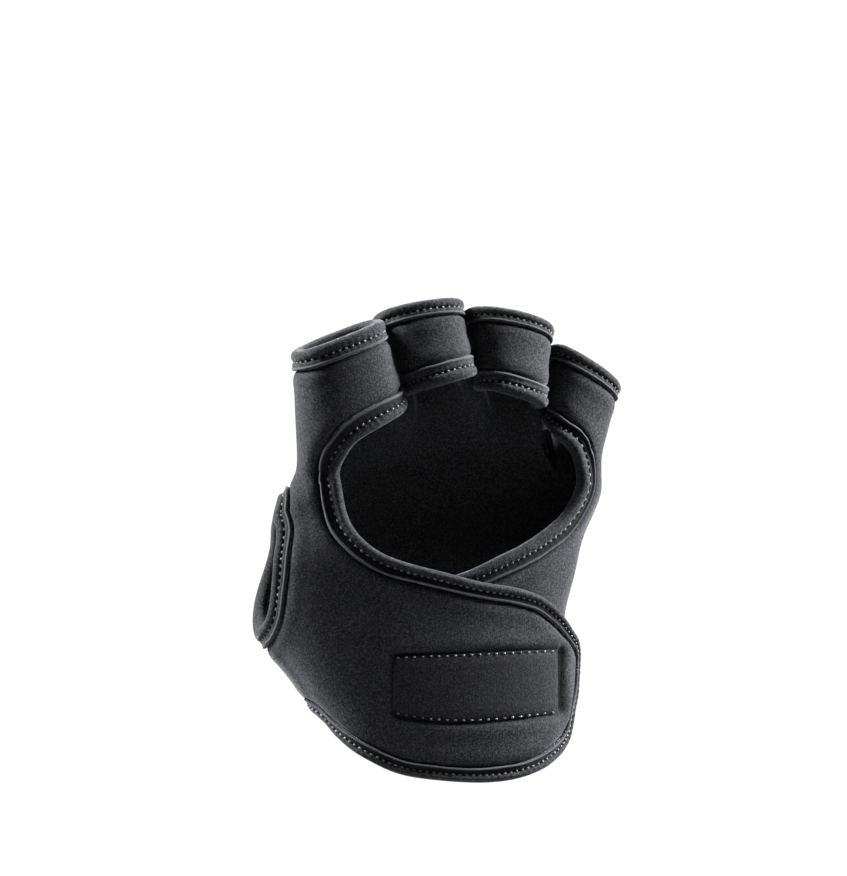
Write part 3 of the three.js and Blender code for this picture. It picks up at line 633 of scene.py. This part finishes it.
def pattern(outline, holes, xs, ys):
    """Triangles of a flat pattern: the outline's own points and a grid within."""
    loops = [outline, *holes]
    grid = np.stack(np.meshgrid(xs, ys, indexing="ij"), -1).reshape(-1, 2)
    keep = inside_polygon(grid, outline)
    for h in holes:
        keep &= ~inside_polygon(grid, h)
    grid = grid[keep]
    for loop in loops:
        grid = grid[near_polygon(grid, loop) > 0.42]
    pts = np.concatenate([*loops, grid])
    edges, first = [], 0
    for loop in loops:
        n = len(loop)
        edges += [(first + i, first + (i + 1) % n) for i in range(n)]
        first += n
    out = geometry.delaunay_2d_cdt([Vector(p) for p in pts], edges, [], 0, 1e-6, False)
    p2 = np.array([tuple(v) for v in out[0]])
    tris = np.array([f for f in out[2] if len(f) == 3])
    mid = p2[tris].mean(1)
    keep = inside_polygon(mid, outline)
    for h in holes:
        keep &= ~inside_polygon(mid, h)
    tris = tris[keep]
    q = p2[tris]
    area = (q[:, 1, 0] - q[:, 0, 0]) * (q[:, 2, 1] - q[:, 0, 1]) - (q[:, 1, 1] - q[:, 0, 1]) * (q[:, 2, 0] - q[:, 0, 0])
    tris = np.where((area < 0)[:, None], tris[:, ::-1], tris)
    tris = tris[np.abs(area) > 1e-9]
    used = np.unique(tris)
    remap = np.full(len(p2), -1)
    remap[used] = np.arange(len(used))
    return p2[used], remap[tris]


def shell(name, outer, inner, tris, **kw):
    """A closed sheet from its two faces."""
    n = len(outer)
    e = np.concatenate([tris[:, [0, 1]], tris[:, [1, 2]], tris[:, [2, 0]]])
    key = np.sort(e, 1)
    _, idx, cnt = np.unique(key[:, 0] * 10**7 + key[:, 1], return_index=True, return_counts=True)
    rim = e[idx[cnt == 1]]
    walls1 = np.stack([rim[:, 1], rim[:, 0], rim[:, 0] + n], 1)
    walls2 = np.stack([rim[:, 1], rim[:, 0] + n, rim[:, 1] + n], 1)
    faces = np.concatenate([tris, tris[:, ::-1] + n, walls1, walls2])
    return make(name, np.concatenate([outer, inner]), faces, **kw)


def puff(s, deep=0.95, high=0.30):
    """How the cloth lies s millimetres past a tape: pulled in by the seam, then swelling over."""
    return -deep * (1 - wave(0.0, 1.3, s)) + high * np.exp(-(((s - 3.2) / 2.2) ** 2)) * (s > 0)


def unevenness(p, seed=3):
    rng = np.random.default_rng(seed)
    out = np.zeros(len(p))
    for _ in range(9):
        d = unit(rng.normal(size=3))
        out += np.sin(p @ d * 2 * math.pi / rng.uniform(14, 42) + rng.uniform(0, 6.283)) / 3
    return out


K = 0.8  # one degree is drawn this wide in the flat pattern


def near_line(line, a, z, pts, within=42):
    """Distance past a line's tape, for places near it in the pattern."""
    out = np.full(len(a), 99.0)
    step = max(1, len(line.a) // 400)
    la, lz, lw, lp = line.a[::step], line.z[::step], line.w[::step], line.pts[::step]
    for i in range(0, len(a), 4000):
        sl = slice(i, i + 4000)
        da = np.abs(a[sl, None] - la[None])
        dz = np.abs(z[sl, None] - lz[None])
        d = np.linalg.norm(pts[sl, None] - lp[None], axis=2) - lw[None]
        d[(da > within) | (dz > 24)] = 99
        out[sl] = d.min(1)
    return out


def thin(loop, gap):
    """A loop of points with no two closer than gap."""
    out = [loop[0]]
    for p in loop[1:]:
        if np.hypot(*(p - out[-1])) >= gap:
            out.append(p)
    return np.array(out)


def main_cloth():
    hide = 0.42
    co, ch, cs = opening.cut(hide), hem.cut(hide), outer_side.cut(hide)
    top = []
    for name in ("little", "ring", "middle", "index"):
        f = FINGER[name]
        cols = [(c[0], c[2]) for c in COLUMNS if c[1] == name][::-1]
        phis = np.arange(cols[0][1], cols[-1][1] + 0.5, 3.0)
        phis[-1] = cols[-1][1]
        angles = np.interp(phis, [c[1] for c in cols], [c[0] for c in cols])
        line = Line.__new__(Line)
        line.surface, line.closed, line.side = tube(name), False, -1
        line.a, line.z, line.w = phis, np.full_like(phis, LOOP_TOP), np.full_like(phis, TOP[f, 7])
        pts = line.surface(phis, line.z)
        line.run = unit(np.gradient(pts, axis=0))
        levels = line.cut(hide)[:, 1]
        rows = np.stack([angles, levels], 1)
        if top:
            top[-1][0] -= 0.3
            rows[0, 0] += 0.3
            last, here = top[-1][0], rows[0, 0]
            for level in np.arange(top[-1][1] - 1.2, SLIT_LEVEL + 1.6, -1.4):
                top.append(np.array([last, level]))
            top += [np.array([last, SLIT_LEVEL + 1.2]), np.array([(last + here) / 2, SLIT_LEVEL]), np.array([here, SLIT_LEVEL + 1.2])]
            for level in np.arange(SLIT_LEVEL + 2.6, rows[0, 1] - 1.0, 1.4):
                top.append(np.array([here, level]))
        top += list(rows)
    lift = np.array(top)
    first, last = COL_A[0], COL_A[-1]
    down = np.arange(lift[-1, 1] - 1.2, co[0, 1] + 1.4, -1.4)
    up = np.arange(cs[-1, 1] + 1.4, lift[0, 1] - 1.0, 1.4)
    outline = np.concatenate([
        np.stack([np.full_like(down, first), down], 1), [[first, co[0, 1] + 0.8]], co, ch[1:], cs[1:],
        [[last, cs[-1, 1] + 0.8]], np.stack([np.full_like(up, last), up], 1), lift,
    ])
    outline = outline * [K, 1]
    hole = thumb.cut(hide) * [K, 1]
    outline, hole = thin(outline, 0.16), thin(hole, 0.3)
    fine = np.concatenate([np.arange(c - 1.9, c + 2, 0.45) for c in (-159, -189, -220)])
    xs = np.unique(np.round(np.concatenate([np.arange(-384, 100, 1.2), fine]), 3)) * K
    xs = xs[np.r_[True, np.diff(xs) > 0.2]]
    ys = np.arange(-6, 144, 1.0)
    p, tris = pattern(outline, [hole], xs, ys)
    a, z = p[:, 0] / K, p[:, 1]
    base = form(a, z)
    nrm = normal_of(form, a, z)
    s = np.minimum.reduce([near_line(l, a, z, base) for l in (opening, hem, outer_side, thumb)])
    # the tapes round the tops of the finger loops
    fi = COL_F[np.clip(np.searchsorted(-COL_A, -np.clip(a, COL_A[-1], COL_A[0]), side="left"), 0, len(COL_F) - 1)]
    top_gap = np.linalg.norm(base - finger_point(a, 1.0), axis=1) - TOP[fi, 7]
    s = np.where(z > 120, np.minimum(s, top_gap), s)
    h = puff(s)
    h = h + 0.16 * unevenness(base) * wave(0, 5, s)
    h = h + label_dent(a, z, base)
    outer = base + nrm * h[:, None]
    inner = base + nrm * (-SHEET + 0.45 * (1 - wave(-0.2, 1.5, s)) - 0.1 * np.exp(-(((s - 3.4) / 2.3) ** 2)))[:, None]
    weave = np.stack([a * K, z, 0 * a], 1)
    weave = np.concatenate([weave, weave + [0, 0, 8]])
    # painted shade: the cloth's colour is darkened where it is pulled in beside each tape and round the label, where
    # shade falls; it goes to the groove attribute
    painted_crease_shade = np.maximum(0.9 * (1 - wave(0.35, 1.15, s)), label_painted_shade(a, base))
    return shell("glove_cloth", outer, inner, tris, weave=weave, extra={"groove": np.concatenate([painted_crease_shade, painted_crease_shade])})


# ---------------------------------------------------------------- label
def curve_of(rows):
    return spline([r[0] for r in rows], [r[1] for r in rows])


UPPER, LOWER = curve_of(LABEL_UPPER), curve_of(LABEL_LOWER)


def label_dent(a, z, p):
    """The flap under the label: a flat bed, a sewn line above and below it, a deep fold at its right end."""
    x, zz = p[:, 0], p[:, 2]
    on = (a > -45) & (z > 8) & (z < 52)
    inx = wave(LABEL_LEFT - 1.0, LABEL_LEFT + 0.4, x) * (1 - wave(LABEL_RIGHT - 0.2, LABEL_RIGHT + 1.0, x))
    inz = wave(LOWER(x) - 1.0, LOWER(x) + 0.3, zz) * (1 - wave(UPPER(x) - 0.3, UPPER(x) + 1.0, zz))
    bed = -1.05 * inx * inz
    rows = 0
    for c in (UPPER, LOWER):
        rows = rows - 0.5 * np.exp(-(((zz - c(x)) / 1.1) ** 2)) * wave(LABEL_LEFT - 2, LABEL_LEFT + 1, x) * (
            1 - wave(LABEL_RIGHT, LABEL_RIGHT + 2, x))
        rows = rows + 0.22 * np.exp(-(((zz - c(x) - np.sign(zz - 29) * 3.2) / 2.0) ** 2)) * inx
    mid = (UPPER(x) + LOWER(x)) / 2
    tall = wave(LOWER(x) - 1.5, LOWER(x) + 1.5, zz) * (1 - wave(UPPER(x) - 1.0, UPPER(x) + 2.0, zz))
    fold = -1.6 * np.exp(-(((x - 36.8) / 0.80) ** 2)) * tall
    bulge = 0.55 * np.exp(-(((x - 39.0) / 1.1) ** 2)) * wave(10, 20, zz) * (1 - wave(42, 50, zz))
    return np.where(on, bed + rows + fold + bulge, 0)


def label_painted_shade(a, p):
    """How much painted shade the flap takes round the label, 0 to 1: darker along its sewn lines, in the fold at its
    right end and at its left edge.
    """
    x, zz = p[:, 0], p[:, 2]
    on = (a > -45) & (zz > 8) & (zz < 52)
    wide = wave(LABEL_LEFT - 1.5, LABEL_LEFT, x) * (1 - wave(LABEL_RIGHT, LABEL_RIGHT + 2.2, x))
    lines = np.maximum(np.exp(-(((zz - UPPER(x) - 0.2) / 0.75) ** 2)), np.exp(-(((zz - LOWER(x) + 0.2) / 0.75) ** 2))) * wide
    tall = wave(LOWER(x) - 1.5, LOWER(x) + 0.5, zz) * (1 - wave(UPPER(x) - 0.5, UPPER(x) + 1.5, zz))
    fold = np.exp(-(((x - 36.7) / 0.85) ** 2)) * tall
    left = 0.6 * np.exp(-(((x - LABEL_LEFT + 0.4) / 0.7) ** 2)) * tall
    return np.where(on, np.maximum.reduce([0.9 * lines, 0.95 * fold, left]), 0)


def label_places(x, zz):
    """Where the flap shows x and z, as angle and level."""
    levels = np.arange(10, 50, 0.5)
    angles = np.arange(-45, 88, 0.5)
    grid = form(angles[None, :], levels[:, None])
    a = np.empty_like(x)
    for i in range(len(x)):
        j = (zz[i] - levels[0]) / 0.5
        j0 = int(j)
        t = j - j0
        r = grid[j0, :, 0] * (1 - t) + grid[j0 + 1, :, 0] * t
        stop = int(np.argmax(r))
        a[i] = np.interp(x[i], r[: stop + 1], angles[: stop + 1])
    return a, zz


def label_cloth():
    nu, nv = 150, 56
    u = np.linspace(0, 1, nu + 1)
    v = np.linspace(0, 1, nv + 1)
    uu, vv = np.meshgrid(u, v, indexing="ij")
    x = LABEL_LEFT + (LABEL_RIGHT - LABEL_LEFT) * uu
    x = x + (1 - uu) * (-0.6 * (1 - vv))
    zz = LOWER(x) + (UPPER(x) - LOWER(x)) * vv
    a, z = label_places(x.ravel(), zz.ravel())
    base, nrm = form(a, z), normal_of(form, a, z)
    width, height = LABEL_RIGHT - LABEL_LEFT, 19.5
    du = np.minimum(uu, 1 - uu).ravel() * width
    dv = np.minimum(vv, 1 - vv).ravel() * height
    rim = np.minimum(du, dv)
    h = -0.16 + 0.22 * wave(0.6, 3.4, dv) + 0.10 * wave(0.2, 3.0, du)
    h = h - 0.34 * np.exp(-(((dv - 0.55) / 0.42) ** 2)) + 0.12 * wave(0.9, 0.2, dv)
    h = h - 0.5 * wave(0.35, 0.0, rim)
    h = h + 0.06 * unevenness(base, 8)
    count = round(width / 2.45)
    h = h - 0.09 * np.exp(-(((dv - 0.55) / 0.5) ** 2)) * np.cos(uu.ravel() * count * 2 * math.pi)
    outer = base + nrm * h[:, None]
    inner = base + nrm * (np.minimum(h - 0.35, -0.86))[:, None]
    i = np.arange(nu)[:, None] * (nv + 1) + np.arange(nv)[None]
    i = i.ravel()
    tris = np.concatenate([np.stack([i, i + nv + 1, i + nv + 2], 1), np.stack([i, i + nv + 2, i + 1], 1)])
    weave = np.stack([x.ravel(), zz.ravel(), 0 * z], 1)
    weave = np.concatenate([weave, weave + [0, 0, 3]])
    # painted shade: the label's colour is darkened towards its sewn upper and lower edges, where they sink in
    painted_crease_shade = 0.92 * (1 - wave(0.55, 1.25, dv))
    obj = shell("label_cloth", outer, inner, tris, weave=weave, extra={"groove": np.concatenate([painted_crease_shade, painted_crease_shade])})
    # its two rows of stitches
    parts = []
    for c, side in ((UPPER, -1), (LOWER, 1)):
        s = (np.arange(count) + 0.5) / count
        xs = LABEL_LEFT + width * s
        zs = c(xs) + side * 0.55
        aa, zz2 = label_places(xs, zs)
        base, nrm = form(aa, zz2), normal_of(form, aa, zz2)
        ahead = form(*label_places(xs + 0.5, c(xs + 0.5) + side * 0.55)) - base
        run = unit(ahead - nrm * dot(ahead, nrm)[:, None])
        parts.append((base + nrm * (-0.22 + 0.25 * s)[:, None], run, nrm, np.cross(nrm, run)))
    both = [np.concatenate([p[k] for p in parts]) for k in range(4)]
    stitches = thread("label_stitches", *both, length=1.0, r=0.25, dip=0.26, seed=31)
    return obj, stitches


def band_cloth(name):
    surface = tube(name)
    hi, lo = uppers[name], lowers[name]
    phi = np.linspace(-109.4, 109.4, 121)

    def cut(level, w, side):
        line = Line.__new__(Line)
        line.surface, line.closed, line.side = surface, False, side
        line.a, line.z, line.w = phi, np.full_like(phi, level), np.full_like(phi, w)
        line.run = unit(np.gradient(surface(phi, line.z), axis=0))
        return line.cut(0.42)[:, 1]

    top, low = cut(LOOP_TOP, TOP[FINGER[name], 7], -1), cut(LOOP_LOW, LOW[FINGER[name], 7], 1)
    nv = 34
    v = np.linspace(0, 1, nv + 1)
    a = np.repeat(phi[:, None], nv + 1, 1)
    z = low[:, None] + (top - low)[:, None] * v[None]
    a, z = a.ravel(), z.ravel()
    base, nrm = surface(a, z), normal_of(surface, a, z)
    s1 = np.linalg.norm(base - surface(a, LOOP_TOP + 0 * a), axis=1) - TOP[FINGER[name], 7]
    s2 = np.linalg.norm(base - surface(a, LOOP_LOW + 0 * a), axis=1) - LOW[FINGER[name], 7]
    s = np.minimum(s1, s2)
    h = puff(s, 0.9, 0.3) + 0.12 * unevenness(base, 5) * wave(0, 5, s)
    outer = base + nrm * h[:, None]
    inner = base + nrm * (-SHEET + 0.45 * (1 - wave(-0.2, 1.5, s)))[:, None]
    n = nv + 1
    i = (np.arange(len(phi) - 1)[:, None] * n + np.arange(nv)[None]).ravel()
    tris = np.concatenate([np.stack([i, i + n, i + n + 1], 1), np.stack([i, i + n + 1, i + 1], 1)])
    weave = np.stack([a * 0.27, z, 0 * z], 1)
    weave = np.concatenate([weave, weave + [0, 0, 5]])
    return shell(name + "_band_cloth", outer, inner, tris, weave=weave)


# ---------------------------------------------------------------- looks


def node(tree, kind, x, y, **kw):
    made = tree.nodes.new(kind)
    made.location = (x, y)
    for key, value in kw.items():
        if key in made.inputs:
            made.inputs[key].default_value = value
        else:
            setattr(made, key, value)
    return made


def ramp(tree, x, y, stops):
    made = tree.nodes.new("ShaderNodeValToRGB")
    made.location = (x, y)
    els = made.color_ramp.elements
    while len(els) > len(stops):
        els.remove(els[-1])
    while len(els) < len(stops):
        els.new(0.5)
    for el, (pos, col) in zip(els, stops):
        el.position = pos
        el.color = (*col, 1) if len(col) == 3 else col
    return made


def grey(v):
    return (v * 0.97, v, v * 1.10)


def knit(name, dark, light, rough, sheen, grain=0.55, bump=0.5, gauge=0.62, fleck=0.12, groove=False):
    mat = bpy.data.materials.new(name)
    mat.use_nodes = True
    tree = mat.node_tree
    tree.nodes.clear()
    link = tree.links.new
    out = node(tree, "ShaderNodeOutputMaterial", 900, 0)
    bsdf = node(tree, "ShaderNodeBsdfPrincipled", 600, 0)
    link(bsdf.outputs["BSDF"], out.inputs["Surface"])
    bsdf.inputs["Specular IOR Level"].default_value = 0.06
    bsdf.inputs["Sheen Roughness"].default_value = 0.36
    bsdf.inputs["Sheen Tint"].default_value = (0.80, 0.83, 0.92, 1)
    obj = node(tree, "ShaderNodeTexCoord", -1500, 0)
    weave = node(tree, "ShaderNodeAttribute", -1500, -400, attribute_name="weave")
    # grain of the brushed jersey, in object space
    fine = node(tree, "ShaderNodeTexNoise", -1200, 200, Scale=1000 / grain, Detail=2.0, Roughness=0.62)
    link(obj.outputs["Object"], fine.inputs["Vector"])
    broad = node(tree, "ShaderNodeTexNoise", -1200, -50, Scale=95.0, Detail=3.0, Roughness=0.55)
    link(obj.outputs["Object"], broad.inputs["Vector"])
    flecks = node(tree, "ShaderNodeTexNoise", -1200, 450, Scale=1000 / (grain * 1.15), Detail=1.0, Roughness=0.5)
    link(obj.outputs["Object"], flecks.inputs["Vector"])
    # wales and courses of the knit, along the cloth
    wales = node(tree, "ShaderNodeTexWave", -1200, -300, Scale=1 / gauge / 3.1831 * 1.0, Distortion=1.6, Detail=1.5)
    wales.wave_type, wales.bands_direction = "BANDS", "X"
    wales.inputs["Detail Scale"].default_value = 1.4
    link(weave.outputs["Vector"], wales.inputs["Vector"])
    courses = node(tree, "ShaderNodeTexWave", -1200, -600, Scale=1 / (gauge * 0.8) / 3.1831, Distortion=1.8, Detail=1.5)
    courses.wave_type, courses.bands_direction = "BANDS", "Y"
    courses.inputs["Detail Scale"].default_value = 1.4
    link(weave.outputs["Vector"], courses.inputs["Vector"])
    both = node(tree, "ShaderNodeMath", -950, -420, operation="MULTIPLY")
    link(wales.outputs["Fac"], both.inputs[0])
    link(courses.outputs["Fac"], both.inputs[1])
    # colour
    col = ramp(tree, -650, 300, [(0.37, dark), (0.51, tuple(0.62 * d + 0.38 * l for d, l in zip(dark, light))), (0.66, light)])
    mix = node(tree, "ShaderNodeMath", -900, 250, operation="MULTIPLY_ADD")
    link(broad.outputs["Fac"], mix.inputs[0])
    mix.inputs[1].default_value = 0.06
    link(fine.outputs["Fac"], mix.inputs[2])
    shift = node(tree, "ShaderNodeMath", -760, 250, operation="SUBTRACT")
    link(mix.outputs[0], shift.inputs[0])
    shift.inputs[1].default_value = 0.03
    link(shift.outputs[0], col.inputs["Fac"])
    fl = ramp(tree, -650, 550, [(0.56, (0, 0, 0)), (0.80, (fleck, fleck, fleck * 1.1))])
    link(flecks.outputs["Fac"], fl.inputs["Fac"])
    add = node(tree, "ShaderNodeMix", -300, 380, data_type="RGBA", blend_type="ADD")
    add.inputs["Factor"].default_value = 1.0
    link(col.outputs["Color"], add.inputs[6])
    link(fl.outputs["Color"], add.inputs[7])
    last = add.outputs[2]
    # with groove, the colour takes painted shade and a painted highlight from the pieces' attributes
    if groove:
        # painted shade: the groove attribute mixes the colour towards near black
        shade = node(tree, "ShaderNodeAttribute", -600, 800, attribute_name="groove")
        dim = node(tree, "ShaderNodeMix", -50, 380, data_type="RGBA", blend_type="MIX")
        link(shade.outputs["Fac"], dim.inputs["Factor"])
        link(last, dim.inputs[6])
        dim.inputs[7].default_value = (0.003, 0.003, 0.0034, 1)
        # painted highlight: the ridge attribute mixes in a lighter grey
        painted_crest_highlight = node(tree, "ShaderNodeAttribute", -600, 1000, attribute_name="painted_crest_highlight")
        lit = node(tree, "ShaderNodeMix", 150, 380, data_type="RGBA", blend_type="MIX")
        part = node(tree, "ShaderNodeMath", 0, 700, operation="MULTIPLY")
        link(painted_crest_highlight.outputs["Fac"], part.inputs[0])
        part.inputs[1].default_value = 0.78
        link(part.outputs[0], lit.inputs["Factor"])
        link(dim.outputs[2], lit.inputs[6])
        lit.inputs[7].default_value = (0.075, 0.078, 0.086, 1)
        last = lit.outputs[2]
    link(last, bsdf.inputs["Base Color"])
    # the nap catches the light in spots
    nap = node(tree, "ShaderNodeMapRange", -300, -120)
    link(flecks.outputs["Fac"], nap.inputs["Value"])
    nap.inputs["From Min"].default_value = 0.34
    nap.inputs["From Max"].default_value = 0.66
    nap.inputs["To Min"].default_value = 0.45 * sheen
    nap.inputs["To Max"].default_value = 1.8 * sheen
    link(nap.outputs["Result"], bsdf.inputs["Sheen Weight"])
    # roughness
    rr = node(tree, "ShaderNodeMapRange", -300, 50)
    link(fine.outputs["Fac"], rr.inputs["Value"])
    rr.inputs["To Min"].default_value = rough - 0.1
    rr.inputs["To Max"].default_value = min(1.0, rough + 0.12)
    link(rr.outputs["Result"], bsdf.inputs["Roughness"])
    # relief
    b1 = node(tree, "ShaderNodeBump", 0, -250, Strength=bump, Distance=0.00020)
    link(fine.outputs["Fac"], b1.inputs["Height"])
    b2 = node(tree, "ShaderNodeBump", 250, -250, Strength=bump * 0.8, Distance=0.00012)
    link(both.outputs[0], b2.inputs["Height"])
    link(b1.outputs["Normal"], b2.inputs["Normal"])
    link(b2.outputs["Normal"], bsdf.inputs["Normal"])
    return mat


def thread_look(name):
    mat = bpy.data.materials.new(name)
    mat.use_nodes = True
    tree = mat.node_tree
    bsdf = tree.nodes["Principled BSDF"]
    tone = node(tree, "ShaderNodeAttribute", -700, 200, attribute_name="tone")
    col = ramp(tree, -450, 200, [(0.0, (0.030, 0.031, 0.033)), (1.0, (0.130, 0.132, 0.140))])
    tree.links.new(tone.outputs["Fac"], col.inputs["Fac"])
    tree.links.new(col.outputs["Color"], bsdf.inputs["Base Color"])
    obj = node(tree, "ShaderNodeTexCoord", -900, -200)
    twist = node(tree, "ShaderNodeTexNoise", -700, -200, Scale=3200.0, Detail=1.0)
    tree.links.new(obj.outputs["Object"], twist.inputs["Vector"])
    bump = node(tree, "ShaderNodeBump", -300, -200, Strength=0.5, Distance=0.0001)
    tree.links.new(twist.outputs["Fac"], bump.inputs["Height"])
    tree.links.new(bump.outputs["Normal"], bsdf.inputs["Normal"])
    rr = node(tree, "ShaderNodeMapRange", -450, -50)
    tree.links.new(twist.outputs["Fac"], rr.inputs["Value"])
    rr.inputs["To Min"].default_value = 0.42
    rr.inputs["To Max"].default_value = 0.62
    tree.links.new(rr.outputs["Result"], bsdf.inputs["Roughness"])
    bsdf.inputs["Specular IOR Level"].default_value = 0.4
    bsdf.inputs["Sheen Weight"].default_value = 0.25
    return mat


CLOTH = knit("neoprene_knit", grey(0.0062), grey(0.036), 0.80, 0.15, grain=0.54, bump=0.30, fleck=0.015, groove=True)
TAPE = knit("edge_tape", grey(0.0055), grey(0.038), 0.78, 0.17, grain=0.55, bump=0.46, gauge=0.5, fleck=0.018, groove=True)
PATCH = knit("label_weave", grey(0.0050), grey(0.022), 0.74, 0.10, grain=0.5, bump=0.35, gauge=0.45, fleck=0.010, groove=True)
THREAD = thread_look("seam_thread")
HOOKS = knit("hook_tape", grey(0.006), grey(0.016), 0.5, 0.0, grain=0.7, bump=1.0, gauge=1.1, fleck=0.01)


def dress(obj, mat):
    obj.data.materials.clear()
    obj.data.materials.append(mat)
    return obj


# ---------------------------------------------------------------- the glove
cloth = dress(main_cloth(), CLOTH)
bands = {name: dress(band_cloth(name), CLOTH) for name in ("middle", "ring")}
label, label_stitches = label_cloth()
dress(label, PATCH)
dress(label_stitches, THREAD)

tapes = {}
seams = {}
for i, (name, line) in enumerate([("opening", opening), ("hem", hem), ("outer_side", outer_side), ("thumb_hole", thumb)]):
    calm = (lambda a: 0.30 + 0.70 * wave(22, 46, np.abs(a + 84))) if name == "hem" else None
    tapes[name] = dress(tape(name + "_tape", line, 40 + 7 * i, ease=calm, sunk=0.3 if name == "thumb_hole" else 1.0), TAPE)
    seams[name] = dress(seam(name + "_stitches", line, 60 + i), THREAD)
for i, (name, line) in enumerate(uppers.items()):
    tapes[name + "_upper"] = dress(tape(name + "_upper_tape", line, 90 + 7 * i), TAPE)
    seams[name + "_upper"] = dress(seam(name + "_upper_stitches", line, 120 + i), THREAD)
for i, (name, line) in enumerate(lowers.items()):
    tapes[name + "_lower"] = dress(tape(name + "_lower_tape", line, 140 + 7 * i), TAPE)
    seams[name + "_lower"] = dress(seam(name + "_lower_stitches", line, 160 + i), THREAD)

for obj in [cloth, *bands.values(), label, label_stitches, *tapes.values(), *seams.values()]:
    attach(obj, "root")
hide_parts("main_panel")
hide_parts("label_patch")
for name in bands:
    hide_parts(name + "_band")
for name in tapes:
    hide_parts(name + "_binding")
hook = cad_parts["hook_patch"]
hook.data.materials.clear()
hook.data.materials.append(HOOKS)

# ---------------------------------------------------------------- floor, light and camera


def light(name, at, size, power, aim=(-0.005, 0, 0.075), tint=(1, 1, 1), spread=180):
    data = bpy.data.lights.new(name, "AREA")
    data.shape = "RECTANGLE"
    data.size, data.size_y = size
    data.energy = power
    data.color = tint
    data.spread = math.radians(spread)
    obj = bpy.data.objects.new(name, data)
    bpy.context.scene.collection.objects.link(obj)
    obj.location = at
    obj.rotation_euler = (Vector(aim) - Vector(at)).to_track_quat("-Z", "Y").to_euler()
    return obj


light("right_softbox", (0.66, 0.08, 0.53), (0.25, 0.5), 51)
light("left_softbox", (-0.68, 0.10, 0.60), (0.25, 0.4), 46)
light("front_fill", (0.5, -1.9, 0.9), (1.4, 1.0), 0.55)
light("top_softbox", (0.1, 0.2, 1.5), (1.2, 1.0), 4)
light("back_fill", (0.2, 1.7, 0.5), (1.4, 1.0), 5)

world = bpy.data.worlds.new("studio")
bpy.context.scene.world = world
world.use_nodes = True
wt = world.node_tree
wt.nodes.clear()
wo = node(wt, "ShaderNodeOutputWorld", 400, 0)
bright = node(wt, "ShaderNodeBackground", 0, 100, Color=(1, 1, 1, 1), Strength=1.05)
dim = node(wt, "ShaderNodeBackground", 0, -100, Color=(0.95, 0.97, 1, 1), Strength=0.035)
seen = node(wt, "ShaderNodeLightPath", -300, 200)
pick = node(wt, "ShaderNodeMixShader", 200, 0)
wt.links.new(seen.outputs["Is Camera Ray"], pick.inputs[0])
wt.links.new(dim.outputs[0], pick.inputs[1])
wt.links.new(bright.outputs[0], pick.inputs[2])
wt.links.new(pick.outputs[0], wo.inputs["Surface"])

FLOOR_Z = -0.040
n = 96
ring = [(0, 0, FLOOR_Z)]
radii = np.linspace(0.05, 1.1, 22)
for r in radii:
    ring += [(r * math.cos(2 * math.pi * k / n), r * math.sin(2 * math.pi * k / n), FLOOR_Z) for k in range(n)]
faces = [(0, 1 + k, 1 + (k + 1) % n) for k in range(n)]
for j in range(len(radii) - 1):
    for k in range(n):
        a0, a1 = 1 + j * n + k, 1 + j * n + (k + 1) % n
        faces.append((a0, a0 + n, a1 + n, a1))
floor = make("floor", np.array(ring) * 1000, faces)
fmat = bpy.data.materials.new("pale_floor")
fmat.use_nodes = True
ft = fmat.node_tree
fb = ft.nodes["Principled BSDF"]
fb.inputs["Roughness"].default_value = 0.9
fb.inputs["Specular IOR Level"].default_value = 0.1
fo = ft.nodes["Material Output"]
fc = node(ft, "ShaderNodeTexCoord", -900, 0)
fg = node(ft, "ShaderNodeTexNoise", -650, 200, Scale=9.0, Detail=3.0)
ft.links.new(fc.outputs["Object"], fg.inputs["Vector"])
fr = ramp(ft, -400, 200, [(0.3, (0.20, 0.20, 0.20)), (0.7, (0.21, 0.21, 0.21))])
ft.links.new(fg.outputs["Fac"], fr.inputs["Fac"])
ft.links.new(fr.outputs["Color"], fb.inputs["Base Color"])
dist = node(ft, "ShaderNodeVectorMath", -650, -200, operation="LENGTH")
ft.links.new(fc.outputs["Object"], dist.inputs[0])
fade = node(ft, "ShaderNodeMapRange", -400, -200, interpolation_type="SMOOTHSTEP")
ft.links.new(dist.outputs["Value"], fade.inputs["Value"])
fade.inputs["From Min"].default_value = 0.14
fade.inputs["From Max"].default_value = 0.55
clear = node(ft, "ShaderNodeBsdfTransparent", 100, -200)
fm = node(ft, "ShaderNodeMixShader", 350, 0)
ft.links.new(fade.outputs["Result"], fm.inputs[0])
ft.links.new(fb.outputs[0], fm.inputs[1])
ft.links.new(clear.outputs[0], fm.inputs[2])
ft.links.new(fm.outputs[0], fo.inputs["Surface"])
floor.data.materials.append(fmat)

cam_data = bpy.data.cameras.new("camera")
cam_data.sensor_width = 36
cam_data.sensor_fit = "AUTO"
DISTANCE = 1.5
cam_data.lens = 36 * DISTANCE / 0.2655
cam = bpy.data.objects.new("camera", cam_data)
bpy.context.scene.collection.objects.link(cam)
cam.location = (-0.0053, -DISTANCE - 0.02, 0.1042)
cam.rotation_euler = (math.radians(90), 0, 0)
bpy.context.scene.camera = cam

scene = bpy.context.scene
scene.view_settings.view_transform = "Standard"
scene.view_settings.look = "None"
scene.view_settings.exposure = 0.0
scene.view_settings.gamma = 1.0
